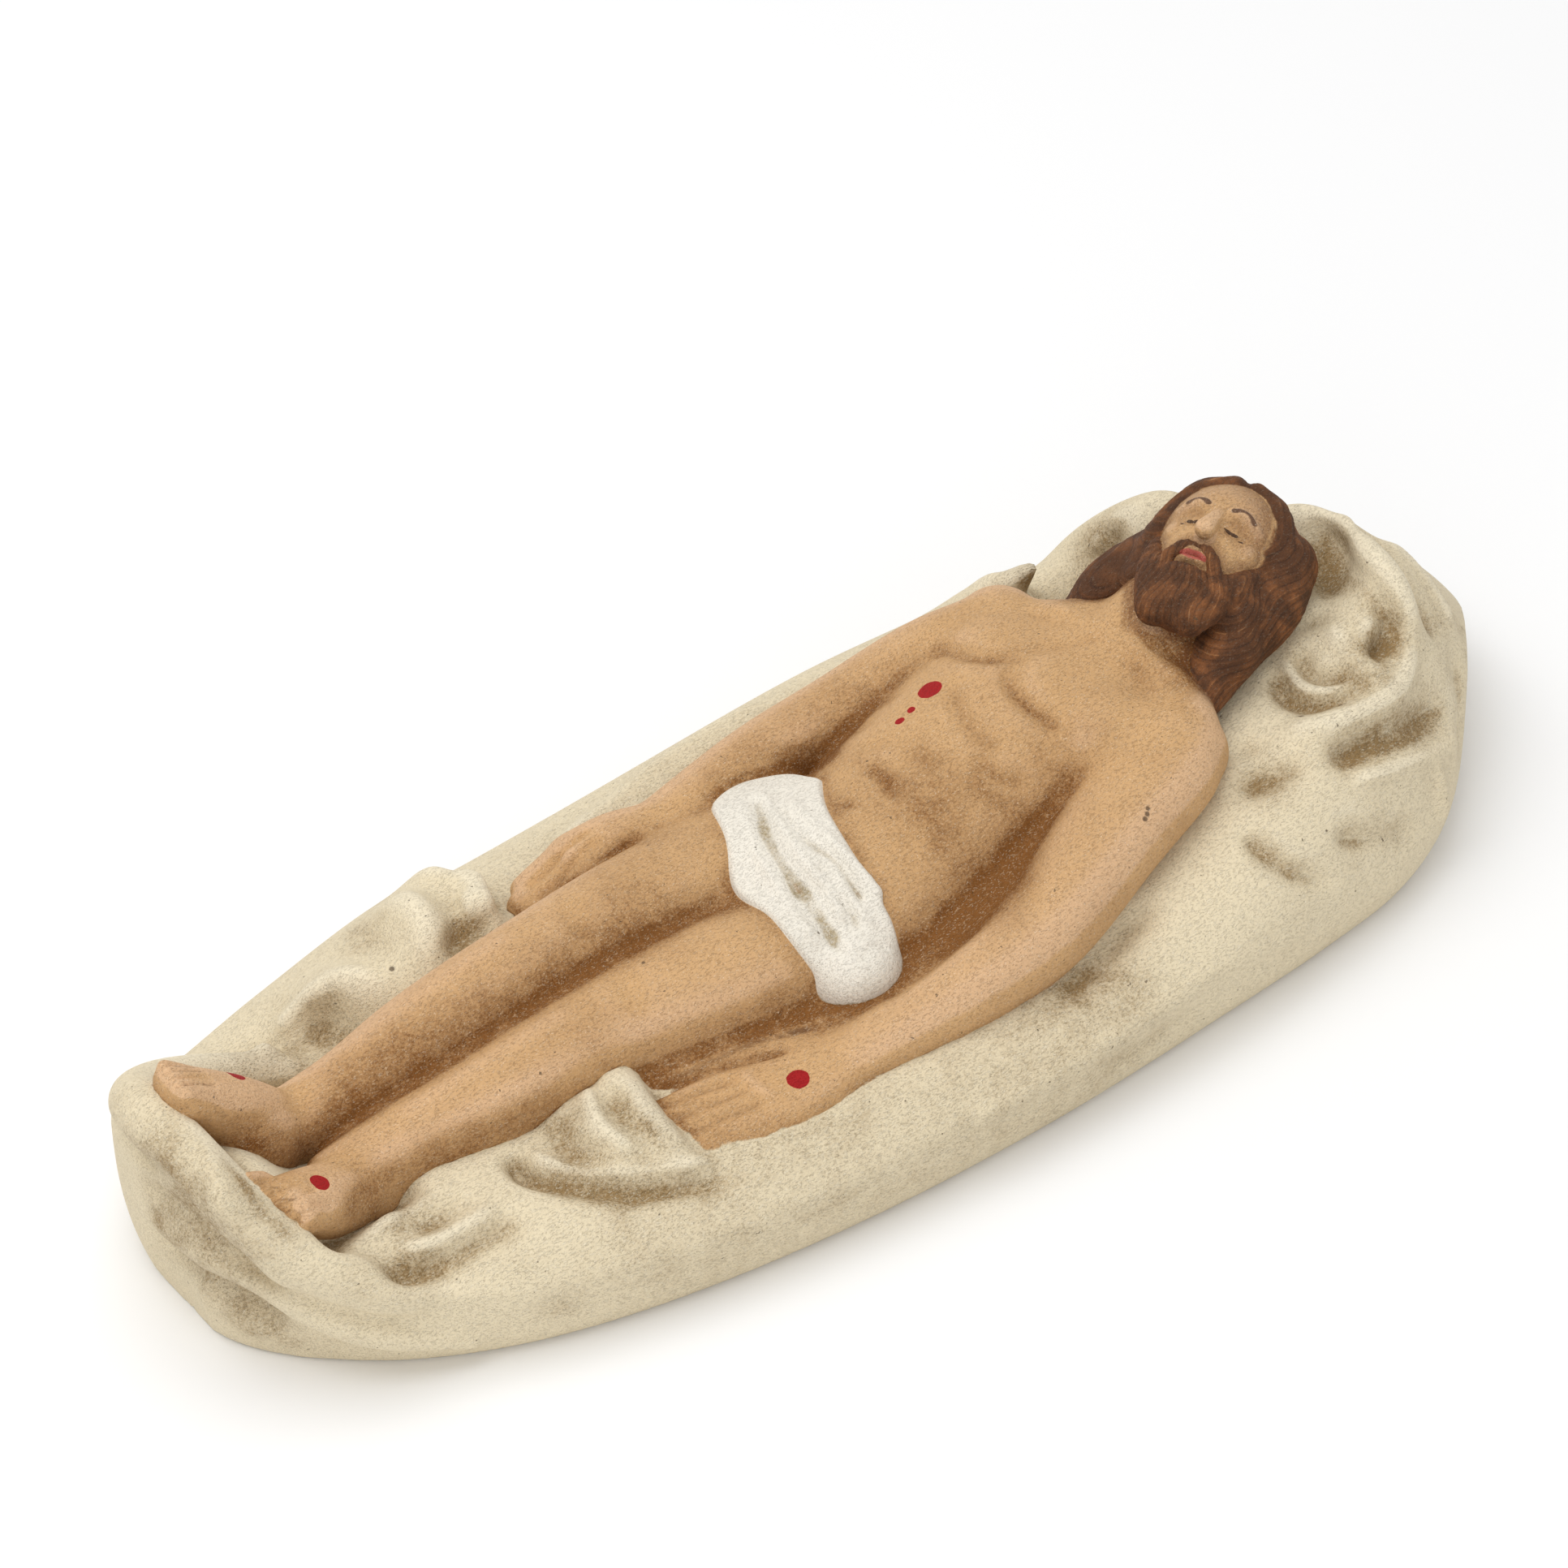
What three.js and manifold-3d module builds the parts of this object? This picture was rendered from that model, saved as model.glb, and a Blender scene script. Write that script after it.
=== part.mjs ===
// A devotional figure cast in one piece: a dead man laid out on his back on a gathered shroud.
// Millimetres. +X runs from the feet to the head, +Y to the figure's right side and +Z up. The
// casting lies on z = 0 with its footprint centred on the origin.
//
// The form is laid up as a modeller does it in clay: the shroud first, then the body in rounded
// lumps and tapered limbs pressed onto it, and all of it joined into one solid.
import * as THREE from "three";
import { mergeVertices } from "three/addons/utils/BufferGeometryUtils.js";
import Module from "manifold-3d";

const LENGTH = 200; // of the shroud, from the foot end to the head end
const WIDTH = 77; // of the shroud where it is widest
const UNDERCUT = 0.955; // share of the plan that the flat underside keeps
const HEAD = [61, 2.5, 34]; // middle of the head
const HEAD_TURN = 25; // degrees that the crown leans to the figure's right
const HEAD_LIFT = 15; // degrees that the crown is raised on the gathered cloth

const FLESH_AND_CLOTH = 0xcfb48c;

const wasm = await Module();
wasm.setup();

const { clamp, degToRad, lerp, smoothstep } = THREE.MathUtils;

// Moves each vertex of a geometry to where place() puts it, and makes a solid of the result.
function solid(geometry, place) {
  const position = geometry.attributes.position;
  const vertex = new THREE.Vector3();
  for (let i = 0; i < position.count; i++) {
    const { x, y, z } = place(vertex.fromBufferAttribute(position, i));
    position.setXYZ(i, x, y, z);
  }
  geometry.deleteAttribute("normal");
  geometry.deleteAttribute("uv");
  const merged = mergeVertices(geometry, 1e-4);
  return new wasm.Manifold(
    new wasm.Mesh({
      numProp: 3,
      vertProperties: merged.attributes.position.array,
      triVerts: new Uint32Array(merged.index.array),
    }),
  );
}

const join = (pieces) => pieces.reduce((whole, piece) => whole.add(piece));
const curve = (points) => new THREE.CatmullRomCurve3(points, false, "catmullrom", 0.5);

// A height that changes along X, through stations [x, height].
function profile(stations) {
  const line = curve(stations.map(([x, height]) => new THREE.Vector3(x, height, 0)));
  const table = line.getPoints(stations.length * 12);
  return (x) => {
    const after = table.findIndex((point) => point.x >= x);
    if (after <= 0) return table[after === 0 ? 0 : table.length - 1].y;
    const [a, b] = [table[after - 1], table[after]];
    return lerp(a.y, b.y, (x - a.x) / (b.x - a.x));
  };
}

// The shroud's plan: an oval blunter on the figure's right, and fuller towards the head.
const NEAR_POWER = { foot: 2.3, head: 2.6 }; // 2 would be an ellipse
const FAR_POWER = { foot: 3, head: 2.2 };
const HEAD_FULLER = 0.04;
const FOOT_TIP = 2.5; // the two tips lie this far towards the figure's right
const HEAD_TIP = 5;

const axisAt = (x) => (x < 0 ? FOOT_TIP : HEAD_TIP) * ((2 * x) / LENGTH) ** 2;
const fullWidth = (x) => (WIDTH / 2) * (1 + HEAD_FULLER * Math.sin((Math.PI * x) / (0.55 * LENGTH)));

function planPower(x, far) {
  const power = far ? FAR_POWER : NEAR_POWER;
  return x < 0 ? power.foot : power.head;
}

function halfWidth(x, far) {
  const power = planPower(x, far);
  const u = Math.min(Math.abs((2 * x) / LENGTH), 1);
  return fullWidth(x) * (1 - u ** power) ** (1 / power);
}

// How far a point of the plan lies in from the oval's edge.
function inFromEdge(x, y) {
  const side = y - axisAt(x);
  const power = planPower(x, side > 0);
  const u = Math.abs((2 * x) / LENGTH);
  const v = Math.abs(side) / fullWidth(x);
  const share = Math.max((u ** power + v ** power) ** (1 / power), 0.1);
  const slope = Math.hypot((2 * u ** (power - 1)) / LENGTH, v ** (power - 1) / fullWidth(x));
  return (1 - share) / Math.max(slope * share ** (1 - power), 1e-3);
}

// Height at which the wall of the shroud stands out furthest.
const wallHeight = profile([[-100, 21], [-94, 17], [-84, 11], [-70, 9], [100, 9]]);

// The cloth's level beside the body, on the near side and on the far side.
const nearLevel = profile([
  [-100, 22], [-92, 21], [-84, 17], [-70, 16], [-40, 15], [10, 15.5], [28, 18], [45, 22],
  [62, 27], [74, 33], [84, 35], [100, 35],
]);
const farLevel = profile([
  [-100, 27], [-92, 24], [-84, 17], [-74, 15], [-64, 18], [-50, 20], [-36, 18], [-20, 17],
  [0, 16], [20, 17], [40, 21], [50, 24], [60, 27], [70, 28], [80, 29], [100, 32],
]);

// Folds laid over that level: how far the cloth rises or sinks, how wide, and the crest in plan.
const FOLDS = [
  // foot end: the roll that holds up the toes, and the hollow behind the far foot
  { rise: 7, width: 4, crest: [[-90, -16], [-96, -7], [-97, 2]] },
  { rise: 5, width: 4, crest: [[-97, 4], [-96, 10], [-93, 15], [-88, 20]] },
  { rise: -9, width: 4, crest: [[-87, 12], [-81, 13], [-76, 13]] },
  // near foot: the pocket beside the heel, the roll round it and the next hollow
  { rise: -5, width: 3, crest: [[-84, -9], [-77, -11]] },
  { rise: 2.5, width: 3, crest: [[-84, -17], [-76, -14], [-69, -13]] },
  { rise: -2.5, width: 3, crest: [[-78, -21], [-68, -18]] },
  // the fold drawn over the near fingertips, and the groove that curves below it
  { rise: 5, width: 3.2, crest: [[-47, -11], [-49, -15], [-52, -22]] },
  { rise: 4, width: 3, crest: [[-43.5, -16], [-44, -24]] },
  { rise: -3, width: 2.4, crest: [[-60, -14], [-58, -20], [-51, -25], [-43, -28]] },
  // far side: two gathered heaps beside the shin and the knee
  { rise: 6, width: 4, crest: [[-67, 24], [-62, 21], [-59, 16]] },
  { rise: 6, width: 4, crest: [[-51, 27], [-50, 21], [-54, 15]] },
  { rise: 3, width: 4, crest: [[-40, 26], [-41, 21], [-45, 17]] },
  { rise: -4, width: 3, crest: [[-66, 17], [-62, 13]] },
  // head end: the crest of the pillow, the swirl beside the hair and the long hollow
  { rise: 4, width: 4, crest: [[55, 21], [64, 18]] },
  { rise: 3, width: 4, crest: [[74, 8], [78, 0], [80, -10], [77, -18]] },
  { rise: 2, width: 3, crest: [[41, 24], [46, 20]] },
  { rise: -4, width: 3, crest: [[73, 2], [74, -4], [72, -8]] },
  { rise: -4, width: 2.6, crest: [[77, -8], [74, -13], [68, -15], [64, -13]] },
  { rise: -3.5, width: 3, crest: [[58, -20], [68, -21], [78, -20]] },
  { rise: -3, width: 3, crest: [[46, -22], [51, -20]] },
  { rise: -4, width: 4, crest: [[49, 24], [57, 19]] },
  { rise: -2, width: 3, crest: [[44, -28], [50, -33]] },
  // the soft hollow along the near forearm
  { rise: -3, width: 3.5, crest: [[22, -29], [10, -32]] },
];

function distanceToLine(x, y, line) {
  let nearest = Infinity;
  for (let i = 0; i + 1 < line.length; i++) {
    const [ax, ay] = line[i];
    const [bx, by] = line[i + 1];
    const along = ((x - ax) * (bx - ax) + (y - ay) * (by - ay)) / ((bx - ax) ** 2 + (by - ay) ** 2);
    const t = clamp(along, 0, 1);
    nearest = Math.min(nearest, Math.hypot(x - lerp(ax, bx, t), y - lerp(ay, by, t)));
  }
  return nearest;
}

// How the top turns over into the wall: the width of the turn, and its power (1 is a plain slope).
const turnWidth = profile([[-100, 3], [-90, 5], [-75, 12], [50, 15], [75, 22], [100, 26]]);
const turnPower = profile([[-100, 3], [-75, 2.4], [50, 2.2], [75, 1.6], [100, 1.3]]);

function shroudTop(x, y) {
  const across = smoothstep(y, -12, 18);
  let level = lerp(nearLevel(x), farLevel(x), across);
  for (const { rise, width, crest } of FOLDS) {
    level += rise * Math.exp(-((distanceToLine(x, y, crest) / width) ** 2));
  }
  const turn = clamp(inFromEdge(x, y) / turnWidth(x), 0, 1);
  const wall = wallHeight(x);
  return wall + (level - wall) * (1 - (1 - turn) ** turnPower(x));
}

// The underside of a station: how far across, how far in from the plan, and how high.
const UNDERSIDE = [
  [1, 0.99, 0.35],
  [1, UNDERCUT, 0],
  [0.6, UNDERCUT, 0],
  [0, UNDERCUT, 0],
  [-0.6, UNDERCUT, 0],
  [-1, UNDERCUT, 0],
  [-1, 0.99, 0.35],
];

// Lofted along X from a sphere whose poles are the two ends. Of its meridians, most go to the
// top, and there mostly to the cloth beside the body.
function shroud(stations = 56, onTop = 25) {
  const around = onTop + UNDERSIDE.length + 1;
  return solid(new THREE.SphereGeometry(1, around, stations), (v) => {
    const row = Math.acos(clamp(v.y, -1, 1)) / Math.PI;
    const x = (LENGTH / 2) * (2 * lerp(row, (1 - Math.cos(Math.PI * row)) / 2, 0.4) - 1);
    const turn = Math.atan2(v.z, -v.x) / (2 * Math.PI);
    const step = Math.round((turn < 0 ? turn + 1 : turn) * around) % around;
    const yAt = (across, inward) => axisAt(x) + across * halfWidth(x, across > 0) * inward;
    if (step <= onTop) {
      const t = (2 * step) / onTop - 1;
      const y = yAt(Math.sign(t) * Math.abs(t) ** 0.65, 1);
      return { x, y, z: shroudTop(x, y) };
    }
    const [across, inward, height] = UNDERSIDE[step - onTop - 1];
    return { x: (x * (1 + inward)) / 2, y: yAt(across, inward), z: wallHeight(x) * height };
  });
}

// A tapered limb through stations [x, y, z, half width, half height], round at both ends. It is
// a sphere whose rows are strung along the stations.
function limb(stations, around = 10, rows = 10, capRows = 2) {
  const spine = curve(stations.map(([x, y, z]) => new THREE.Vector3(x, y, z)));
  const girth = curve(stations.map(([, , , wide, high = wide]) => new THREE.Vector3(wide, high, 0)));
  const up = new THREE.Vector3(0, 0, 1);
  return solid(new THREE.SphereGeometry(1, around, rows), (v) => {
    const row = Math.round((Math.acos(clamp(v.y, -1, 1)) / Math.PI) * rows);
    const t = clamp((row - capRows) / (rows - 2 * capRows), 0, 1);
    const cap = Math.min(row, rows - row, capRows) / capRows;
    const bulge = Math.cos((cap * Math.PI) / 2) * (row < rows / 2 ? -1 : 1);
    const size = girth.getPoint(t);
    const forward = spine.getTangent(t);
    const side = new THREE.Vector3().crossVectors(up, forward).normalize();
    const top = new THREE.Vector3().crossVectors(forward, side);
    const turn = Math.atan2(v.z, v.x);
    const ring = Math.sin((cap * Math.PI) / 2);
    return spine
      .getPoint(t)
      .addScaledVector(forward, bulge * Math.min(size.x, size.y))
      .addScaledVector(side, ring * size.x * Math.cos(turn))
      .addScaledVector(top, ring * size.y * Math.sin(turn));
  });
}

// A rounded lump: an ellipsoid, turned about Z, then tipped so that its +X end rises.
function lump([x, y, z], [a, b, c], { turned = 0, raised = 0, around = 10, rows = 6 } = {}) {
  const pose = new THREE.Euler(0, degToRad(-raised), degToRad(turned), "ZYX");
  return solid(new THREE.SphereGeometry(1, around, rows), (v) =>
    new THREE.Vector3(v.x * a, v.y * b, v.z * c).applyEuler(pose).add(new THREE.Vector3(x, y, z)),
  );
}

const trunk = () =>
  join([
    limb(
      [
        [-15, 1, 14.5, 13, 8],
        [-6, 1, 15.5, 16, 10],
        [4, 1.5, 16.5, 14, 11],
        [15, 2.5, 18.5, 14, 12],
        [27, 3, 21, 15.5, 12],
        [37, 2.5, 22, 15, 10.5],
        [44, 1.5, 24, 9, 6.5],
      ],
      16,
      12,
    ),
    // chest
    lump([31, -5, 25.8], [9, 9, 7], { turned: -20, raised: -5 }),
    lump([30, 10, 26.2], [8.5, 8.5, 7], { turned: 20, raised: -5 }),
    // shoulders, the near one nearer the head
    lump([38.5, -13.5, 24.8], [9.5, 7.4, 6.8], { turned: -50, raised: 8 }),
    lump([35.5, 15, 25.8], [9, 6.8, 6.4], { turned: 50, raised: 5 }),
    limb([[38, 14, 27, 5, 4.5], [45, 2, 27, 6, 5], [41, -11, 26.5, 5, 4.5]], 8, 8),
    // throat
    limb([[42, 1, 26, 6, 6], [50, 1.5, 29, 6, 6.5], [56, 2.5, 31, 6, 6]], 10, 6),
  ]);

const legs = () =>
  join([
    limb([
      [-2, 10.5, 15, 8.5],
      [-24, 10, 18, 8],
      [-46, 8, 21, 5.8],
      [-61, 7.6, 20, 5.2],
      [-79, 6.5, 17.5, 3.4],
    ]),
    limb([
      [-3, -7.5, 13, 8.5],
      [-24, -6, 15, 8.4],
      [-45, -5, 17, 6],
      [-58, -5, 16.5, 5.6],
      [-77, -4, 15.5, 3.6],
    ]),
  ]);

// A foot stands on its heel with the sole against the cloth: heel, ankle, ball and the toes' roots,
// then a row of toes from the big one to the small one.
const TOES = 5;
const TOE_REACH = [3, 0, -3.2]; // from a toe's tip back to its root
function foot(stations, { from, to }) {
  const pieces = [limb(stations, 8, 7)];
  for (let i = 0; i < TOES; i++) {
    const t = i / (TOES - 1);
    const tip = from.map((value, axis) => lerp(value, to[axis], t));
    const root = tip.map((value, axis) => value + TOE_REACH[axis]);
    const thick = lerp(1.5, 1, t);
    pieces.push(limb([[...root, thick], [...tip, thick]], 6, 3, 1));
  }
  return join(pieces);
}

const feet = () =>
  join([
    foot(
      [
        [-81, 5.5, 13, 3.4],
        [-83.5, 6, 20, 3.8, 4],
        [-89, 6.5, 27, 4, 2.8],
        [-93.5, 7, 32, 4.2, 2],
      ],
      { from: [-95, 4.5, 34], to: [-94, 10.5, 33] },
    ),
    foot(
      [
        [-79, -5.5, 11, 3.4],
        [-81, -6, 17, 3.8, 4],
        [-86, -7.5, 22, 4.2, 2.8],
        [-90, -8.5, 25, 4.4, 2],
      ],
      { from: [-92, -5, 27.5], to: [-90.5, -12, 22.5] },
    ),
  ]);

const arms = () =>
  join([
    limb([
      [40, -14.5, 25.5, 6.4],
      [26, -19.5, 22.5, 6.2],
      [9, -25, 18, 5.6, 5.2],
      [-4, -25.5, 17, 5, 4.6],
      [-20, -24.5, 15, 3.8, 3.2],
    ]),
    limb([
      [36, 16, 26, 6],
      [27, 19.5, 23, 5.6],
      [14, 22, 20, 5.2],
      [0, 21.5, 20.5, 4.6],
      [-17, 18.5, 20.5, 3.5, 3],
    ]),
  ]);

// A hand lies palm down: its back, then four fingers and a thumb fanned from it.
function hand(stations, fingers) {
  const pieces = [limb(stations, 8, 7)];
  for (const { from, to, thick } of fingers) {
    pieces.push(limb([[...from, thick], [...to, thick * 0.85]], 6, 3, 1));
  }
  return join(pieces);
}

function fingersBetween([first, last], reach, drop, thick) {
  return [0, 1, 2, 3].map((i) => {
    const t = i / 3;
    const from = first.map((value, axis) => lerp(value, last[axis], t));
    const length = reach * (i === 3 ? 0.82 : 1);
    return { from, to: [from[0] - length, from[1] * 0.97, from[2] - drop], thick };
  });
}

const hands = () =>
  join([
    hand([[-19, -24.5, 14.5, 3.9, 3], [-27, -24, 14, 5.6, 3.2], [-34, -23, 13.5, 5.8, 2.8]], [
      ...fingersBetween([[-33, -18.5, 15.2], [-32, -27.3, 13]], 12, 0.6, 1.9),
      { from: [-23, -19.5, 16], to: [-35, -15.5, 16.5], thick: 1.9 },
    ]),
    hand([[-16, 18.5, 20.5, 3.6, 3], [-22, 19, 21, 5, 3], [-28, 19.5, 20.5, 5.2, 2.6]], [
      ...fingersBetween([[-27, 16.5, 20.8], [-26, 23, 20.8]], 9.5, 1.5, 1.7),
      { from: [-20, 15.5, 20.5], to: [-29, 13.5, 19], thick: 1.7 },
    ]),
  ]);

// A soft roll of cloth of one thickness.
const roll = (points, thick) => limb(points.map((point) => [...point, thick]), 6, 6, 1);

// The cloth round the loins: a band over the hips whose near end hangs down, in three soft rolls.
const loincloth = () =>
  join([
    limb(
      [
        [-3, 16, 15, 8, 7],
        [-7, 8, 16.5, 8.5, 9.5],
        [-10, -2, 16.5, 8.2, 9.8],
        [-11, -11, 13.5, 6.8, 8.5],
        [-11, -16, 11.5, 5.5, 4],
      ],
      12,
      10,
    ),
    roll([[1, 12, 24], [-3, 3, 26.4], [-4.5, -8, 24.4], [-6, -16, 17], [-8.5, -18, 13.5]], 1.8),
    roll([[-8, 12, 25], [-10.5, 2, 26], [-12, -8, 22.5], [-12.5, -16.5, 15]], 2),
    roll([[-13, 12, 23], [-16, 3, 23.4], [-16.5, -6, 21.5], [-15.5, -15.5, 14.5]], 1.4),
  ]);

// The head is laid up in a frame of its own, across to the figure's left, up to the crown and
// out of the face, then laid on the cloth with the crown raised and leaning aside.
function headFrame() {
  const turned = degToRad(HEAD_TURN);
  const lifted = degToRad(HEAD_LIFT);
  const crown = new THREE.Vector3(
    Math.cos(lifted) * Math.cos(turned),
    Math.cos(lifted) * Math.sin(turned),
    Math.sin(lifted),
  );
  const left = new THREE.Vector3(Math.sin(turned), -Math.cos(turned), 0);
  const front = new THREE.Vector3().crossVectors(left, crown);
  return new THREE.Matrix4().makeBasis(left, crown, front).setPosition(...HEAD);
}

function head() {
  const mirrored = (side) => [
    // hair drawn back from a middle parting, then down past the temple and the jaw
    limb(
      [
        [side * 2, 6.6, 6.2, 3.4, 2.6],
        [side * 7, 5.5, 3.4, 3.2, 3],
        [side * 8.8, -1, 0, 2.8, 3.2],
        [side * 8.6, -8, -2.5, 2.8, 3],
      ],
      8,
      6,
      1,
    ),
    // brow, eye and cheek
    lump([side * 3.2, 1.9, 8.6], [2.6, 1, 1], { around: 6, rows: 4 }),
    lump([side * 3.1, 0.1, 8], [1.5, 1, 1.1], { around: 6, rows: 4 }),
    lump([side * 4.3, -3, 6.2], [2.4, 2.2, 2], { around: 6, rows: 4 }),
    // moustache and the two points of the beard
    roll([[side * 0.6, -5.2, 9.4], [side * 3, -6.6, 8.2], [side * 4.2, -9, 6.4]], 1),
    limb(
      [
        [side * 6, -5, 2.6, 2.4, 2.6],
        [side * 4.6, -11, 3, 2.6, 2.8],
        [side * 1.8, -15, 3, 1.8, 2],
      ],
      6,
      5,
      1,
    ),
  ];
  const pieces = [
    lump([0, 2.2, -1], [8.6, 9, 9.4], { around: 12, rows: 8 }),
    lump([0, -4.5, 2], [6.6, 7.6, 6.6], { around: 10, rows: 8 }),
    lump([0, 2.6, -3.4], [10, 9.8, 8.4], { around: 12, rows: 8 }),
    // nose, lips and chin under the beard
    limb([[0, 2, 7.8, 1, 1.2], [0, -1.2, 8.8, 1.2, 1.6], [0, -3.2, 9.2, 1.7, 1.5]], 6, 4, 1),
    lump([0, -6.4, 8.6], [1.9, 0.9, 0.9], { around: 6, rows: 4 }),
    lump([0, -10.8, 4.2], [5, 4.8, 4.2], { around: 8, rows: 6 }),
    ...mirrored(1),
    ...mirrored(-1),
  ];
  return join(pieces).transform(headFrame().toArray());
}

// The long locks that lie beside the neck, down to the near shoulder and behind the far one.
const locks = () =>
  join([
    limb(
      [
        [66, -4, 29, 4, 5],
        [58, -8, 26.5, 4, 4.5],
        [51, -11.5, 25.5, 3, 3.5],
        [46.5, -13.5, 26, 1.6, 2],
      ],
      8,
      8,
    ),
    limb([[57, 10, 30, 4, 4], [50, 10.5, 28, 3.2, 3.4], [44.5, 10, 28, 1.6, 2]], 8, 8),
  ]);

const casting = join([shroud(), trunk(), legs(), feet(), arms(), hands(), loincloth(), head(), locks()]);

function toMesh(name, piece, colour) {
  const { vertProperties, triVerts } = piece.getMesh();
  const geometry = new THREE.BufferGeometry();
  geometry.setAttribute("position", new THREE.BufferAttribute(vertProperties, 3));
  geometry.setIndex(new THREE.BufferAttribute(triVerts, 1));
  geometry.computeVertexNormals();
  const material = new THREE.MeshStandardMaterial({ color: colour, roughness: 0.75, metalness: 0 });
  const mesh = new THREE.Mesh(geometry, material);
  mesh.name = name;
  return mesh;
}

const group = new THREE.Group();
group.add(toMesh("entombed_figure_on_shroud", casting, FLESH_AND_CLOTH));
export default group;
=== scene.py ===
# A small devotional casting in painted plaster: a dead man laid out on his back on a gathered
# shroud, all in one piece. The form is laid up as its modeller did it, in millimetres: the cloth
# first, then the body, the loincloth and the head pressed into it, and last the brushwork.
import math

import bmesh
import bpy
import numpy as np
from mathutils import Euler, Matrix, Vector
from mathutils.bvhtree import BVHTree


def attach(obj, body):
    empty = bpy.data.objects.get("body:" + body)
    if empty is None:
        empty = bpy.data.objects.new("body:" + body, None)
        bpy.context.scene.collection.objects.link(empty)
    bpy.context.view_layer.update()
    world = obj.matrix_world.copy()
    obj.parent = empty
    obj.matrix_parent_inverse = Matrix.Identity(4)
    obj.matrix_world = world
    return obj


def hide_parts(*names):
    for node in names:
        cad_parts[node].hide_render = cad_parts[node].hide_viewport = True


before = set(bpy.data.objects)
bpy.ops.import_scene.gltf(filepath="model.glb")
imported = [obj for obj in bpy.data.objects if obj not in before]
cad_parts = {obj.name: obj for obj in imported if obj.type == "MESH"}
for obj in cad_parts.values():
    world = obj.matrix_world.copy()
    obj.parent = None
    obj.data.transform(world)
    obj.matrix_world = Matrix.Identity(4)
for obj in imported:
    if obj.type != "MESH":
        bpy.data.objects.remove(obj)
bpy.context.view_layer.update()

# The camera, at the photograph's viewing angle. It looks down on the near side from beyond the
# feet, with a long lens.
AZIMUTH = math.radians(-38)
ELEVATION = math.radians(43)
CAMERA_PLACE = Vector((-0.32841, -0.40643, 0.51909))
FOCAL_PIXELS = 7200
FRAME_PIXELS = 1932
SENSOR_MM = 36

camera = bpy.data.objects.new("camera", bpy.data.cameras.new("camera"))
bpy.context.scene.collection.objects.link(camera)
to_camera = Vector(
    (
        math.sin(AZIMUTH) * math.cos(ELEVATION),
        -math.cos(AZIMUTH) * math.cos(ELEVATION),
        math.sin(ELEVATION),
    )
)
rightward = Vector((math.cos(AZIMUTH), math.sin(AZIMUTH), 0))
camera.matrix_world = Matrix.Translation(CAMERA_PLACE) @ Matrix(
    (rightward, to_camera.cross(rightward), to_camera)
).transposed().to_4x4()
camera.data.sensor_width = SENSOR_MM
camera.data.lens = SENSOR_MM * FOCAL_PIXELS / FRAME_PIXELS
camera.data.clip_start = 0.05
bpy.context.scene.camera = camera

# The shroud is a thick bed of plaster modelled as cloth: an oval with a flat scraped underside,
# a rounded wall, and a top that is gathered into rolls round the feet and a pillow at the head.
LENGTH = 200
WIDTH = 77
UNDERCUT = 0.045  # how far the wall draws in to the underside, as a share of the plan
NEAR_POWER = {"foot": 2.3, "head": 2.8}
FAR_POWER = {"foot": 2.95, "head": 2.2}
HEAD_FULLER = 0.03  # how much wider the plan is towards the head, as a share
FULLER_SPAN = 0.55 * LENGTH  # and over what length it widens
FOOT_TIP = 2.5  # how far the plan's axis bends to the far side at either end
HEAD_TIP = 5
DABS = 3  # dabs of the tool in a length of one stroke's width
FADED = 2.6  # how many widths from its line a stroke has faded out


def curve(points, t):
    """Smooth curve through the points, at t from 0 to 1."""
    p = np.array(points, float)
    p = np.vstack([2 * p[0] - p[1], p, 2 * p[-1] - p[-2]])
    u = np.clip(np.asarray(t, float), 0, 1) * (len(p) - 3)
    i = np.minimum(u.astype(int), len(p) - 4)
    f = (u - i)[..., None]
    a, b, c, d = p[i], p[i + 1], p[i + 2], p[i + 3]
    return b + f * ((c - a) + f * ((2 * a - 5 * b + 4 * c - d) + f * (3 * b - a - 3 * c + d))) / 2


def profile(stations):
    """A height that changes along X, through stations (x, height)."""
    line = curve(stations, np.linspace(0, 1, 12 * len(stations)))
    return lambda x: np.interp(x, line[:, 0], line[:, 1])


def smoothstep(low, high, value):
    t = np.clip((value - low) / (high - low), 0, 1)
    return t * t * (3 - 2 * t)


def stroke(points, line, width):
    """A soft tool stroke along a line: 1 on the line, fading to nothing beyond its width."""
    line = np.array(line, float)
    count = int(DABS * np.linalg.norm(np.diff(line, axis=0), axis=1).sum() / width) + DABS + 1
    path = curve(line, (np.arange(count) + 0.5) / count)
    step = np.linalg.norm(np.diff(path, axis=0), axis=1).mean()
    reach = FADED * width
    close = np.all((points > path.min(0) - reach) & (points < path.max(0) + reach), axis=1)
    here = points[close]
    total = np.zeros(len(here))
    for spot in path:
        total += np.exp(-(((here - spot) / width) ** 2).sum(axis=1))
    pressed = np.zeros(len(points))
    pressed[close] = total * step / (width * math.sqrt(math.pi))
    return pressed


def axis_at(x):
    """Where the middle of the plan lies."""
    return np.where(x < 0, FOOT_TIP, HEAD_TIP) * (2 * x / LENGTH) ** 2


def full_width(x):
    """Half the width of the plan, but for its rounding at both ends."""
    return WIDTH / 2 * (1 + HEAD_FULLER * np.sin(np.pi * x / FULLER_SPAN))


def plan_power(x, far):
    """How squarely the plan is rounded there: 2 is an ellipse, and more is squarer."""
    near = np.where(x < 0, NEAR_POWER["foot"], NEAR_POWER["head"])
    return np.where(far, np.where(x < 0, FAR_POWER["foot"], FAR_POWER["head"]), near)


# what the near side's width is multiplied by
near_trim = profile(
    [(-100, 0.8), (-92, 0.87), (-82, 0.94), (-65, 0.985), (-30, 0.99), (0, 0.98), (30, 0.96)]
    + [(50, 0.985), (64, 1.02), (75, 0.995), (84, 0.89), (92, 0.74), (100, 0.62)]
)


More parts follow.
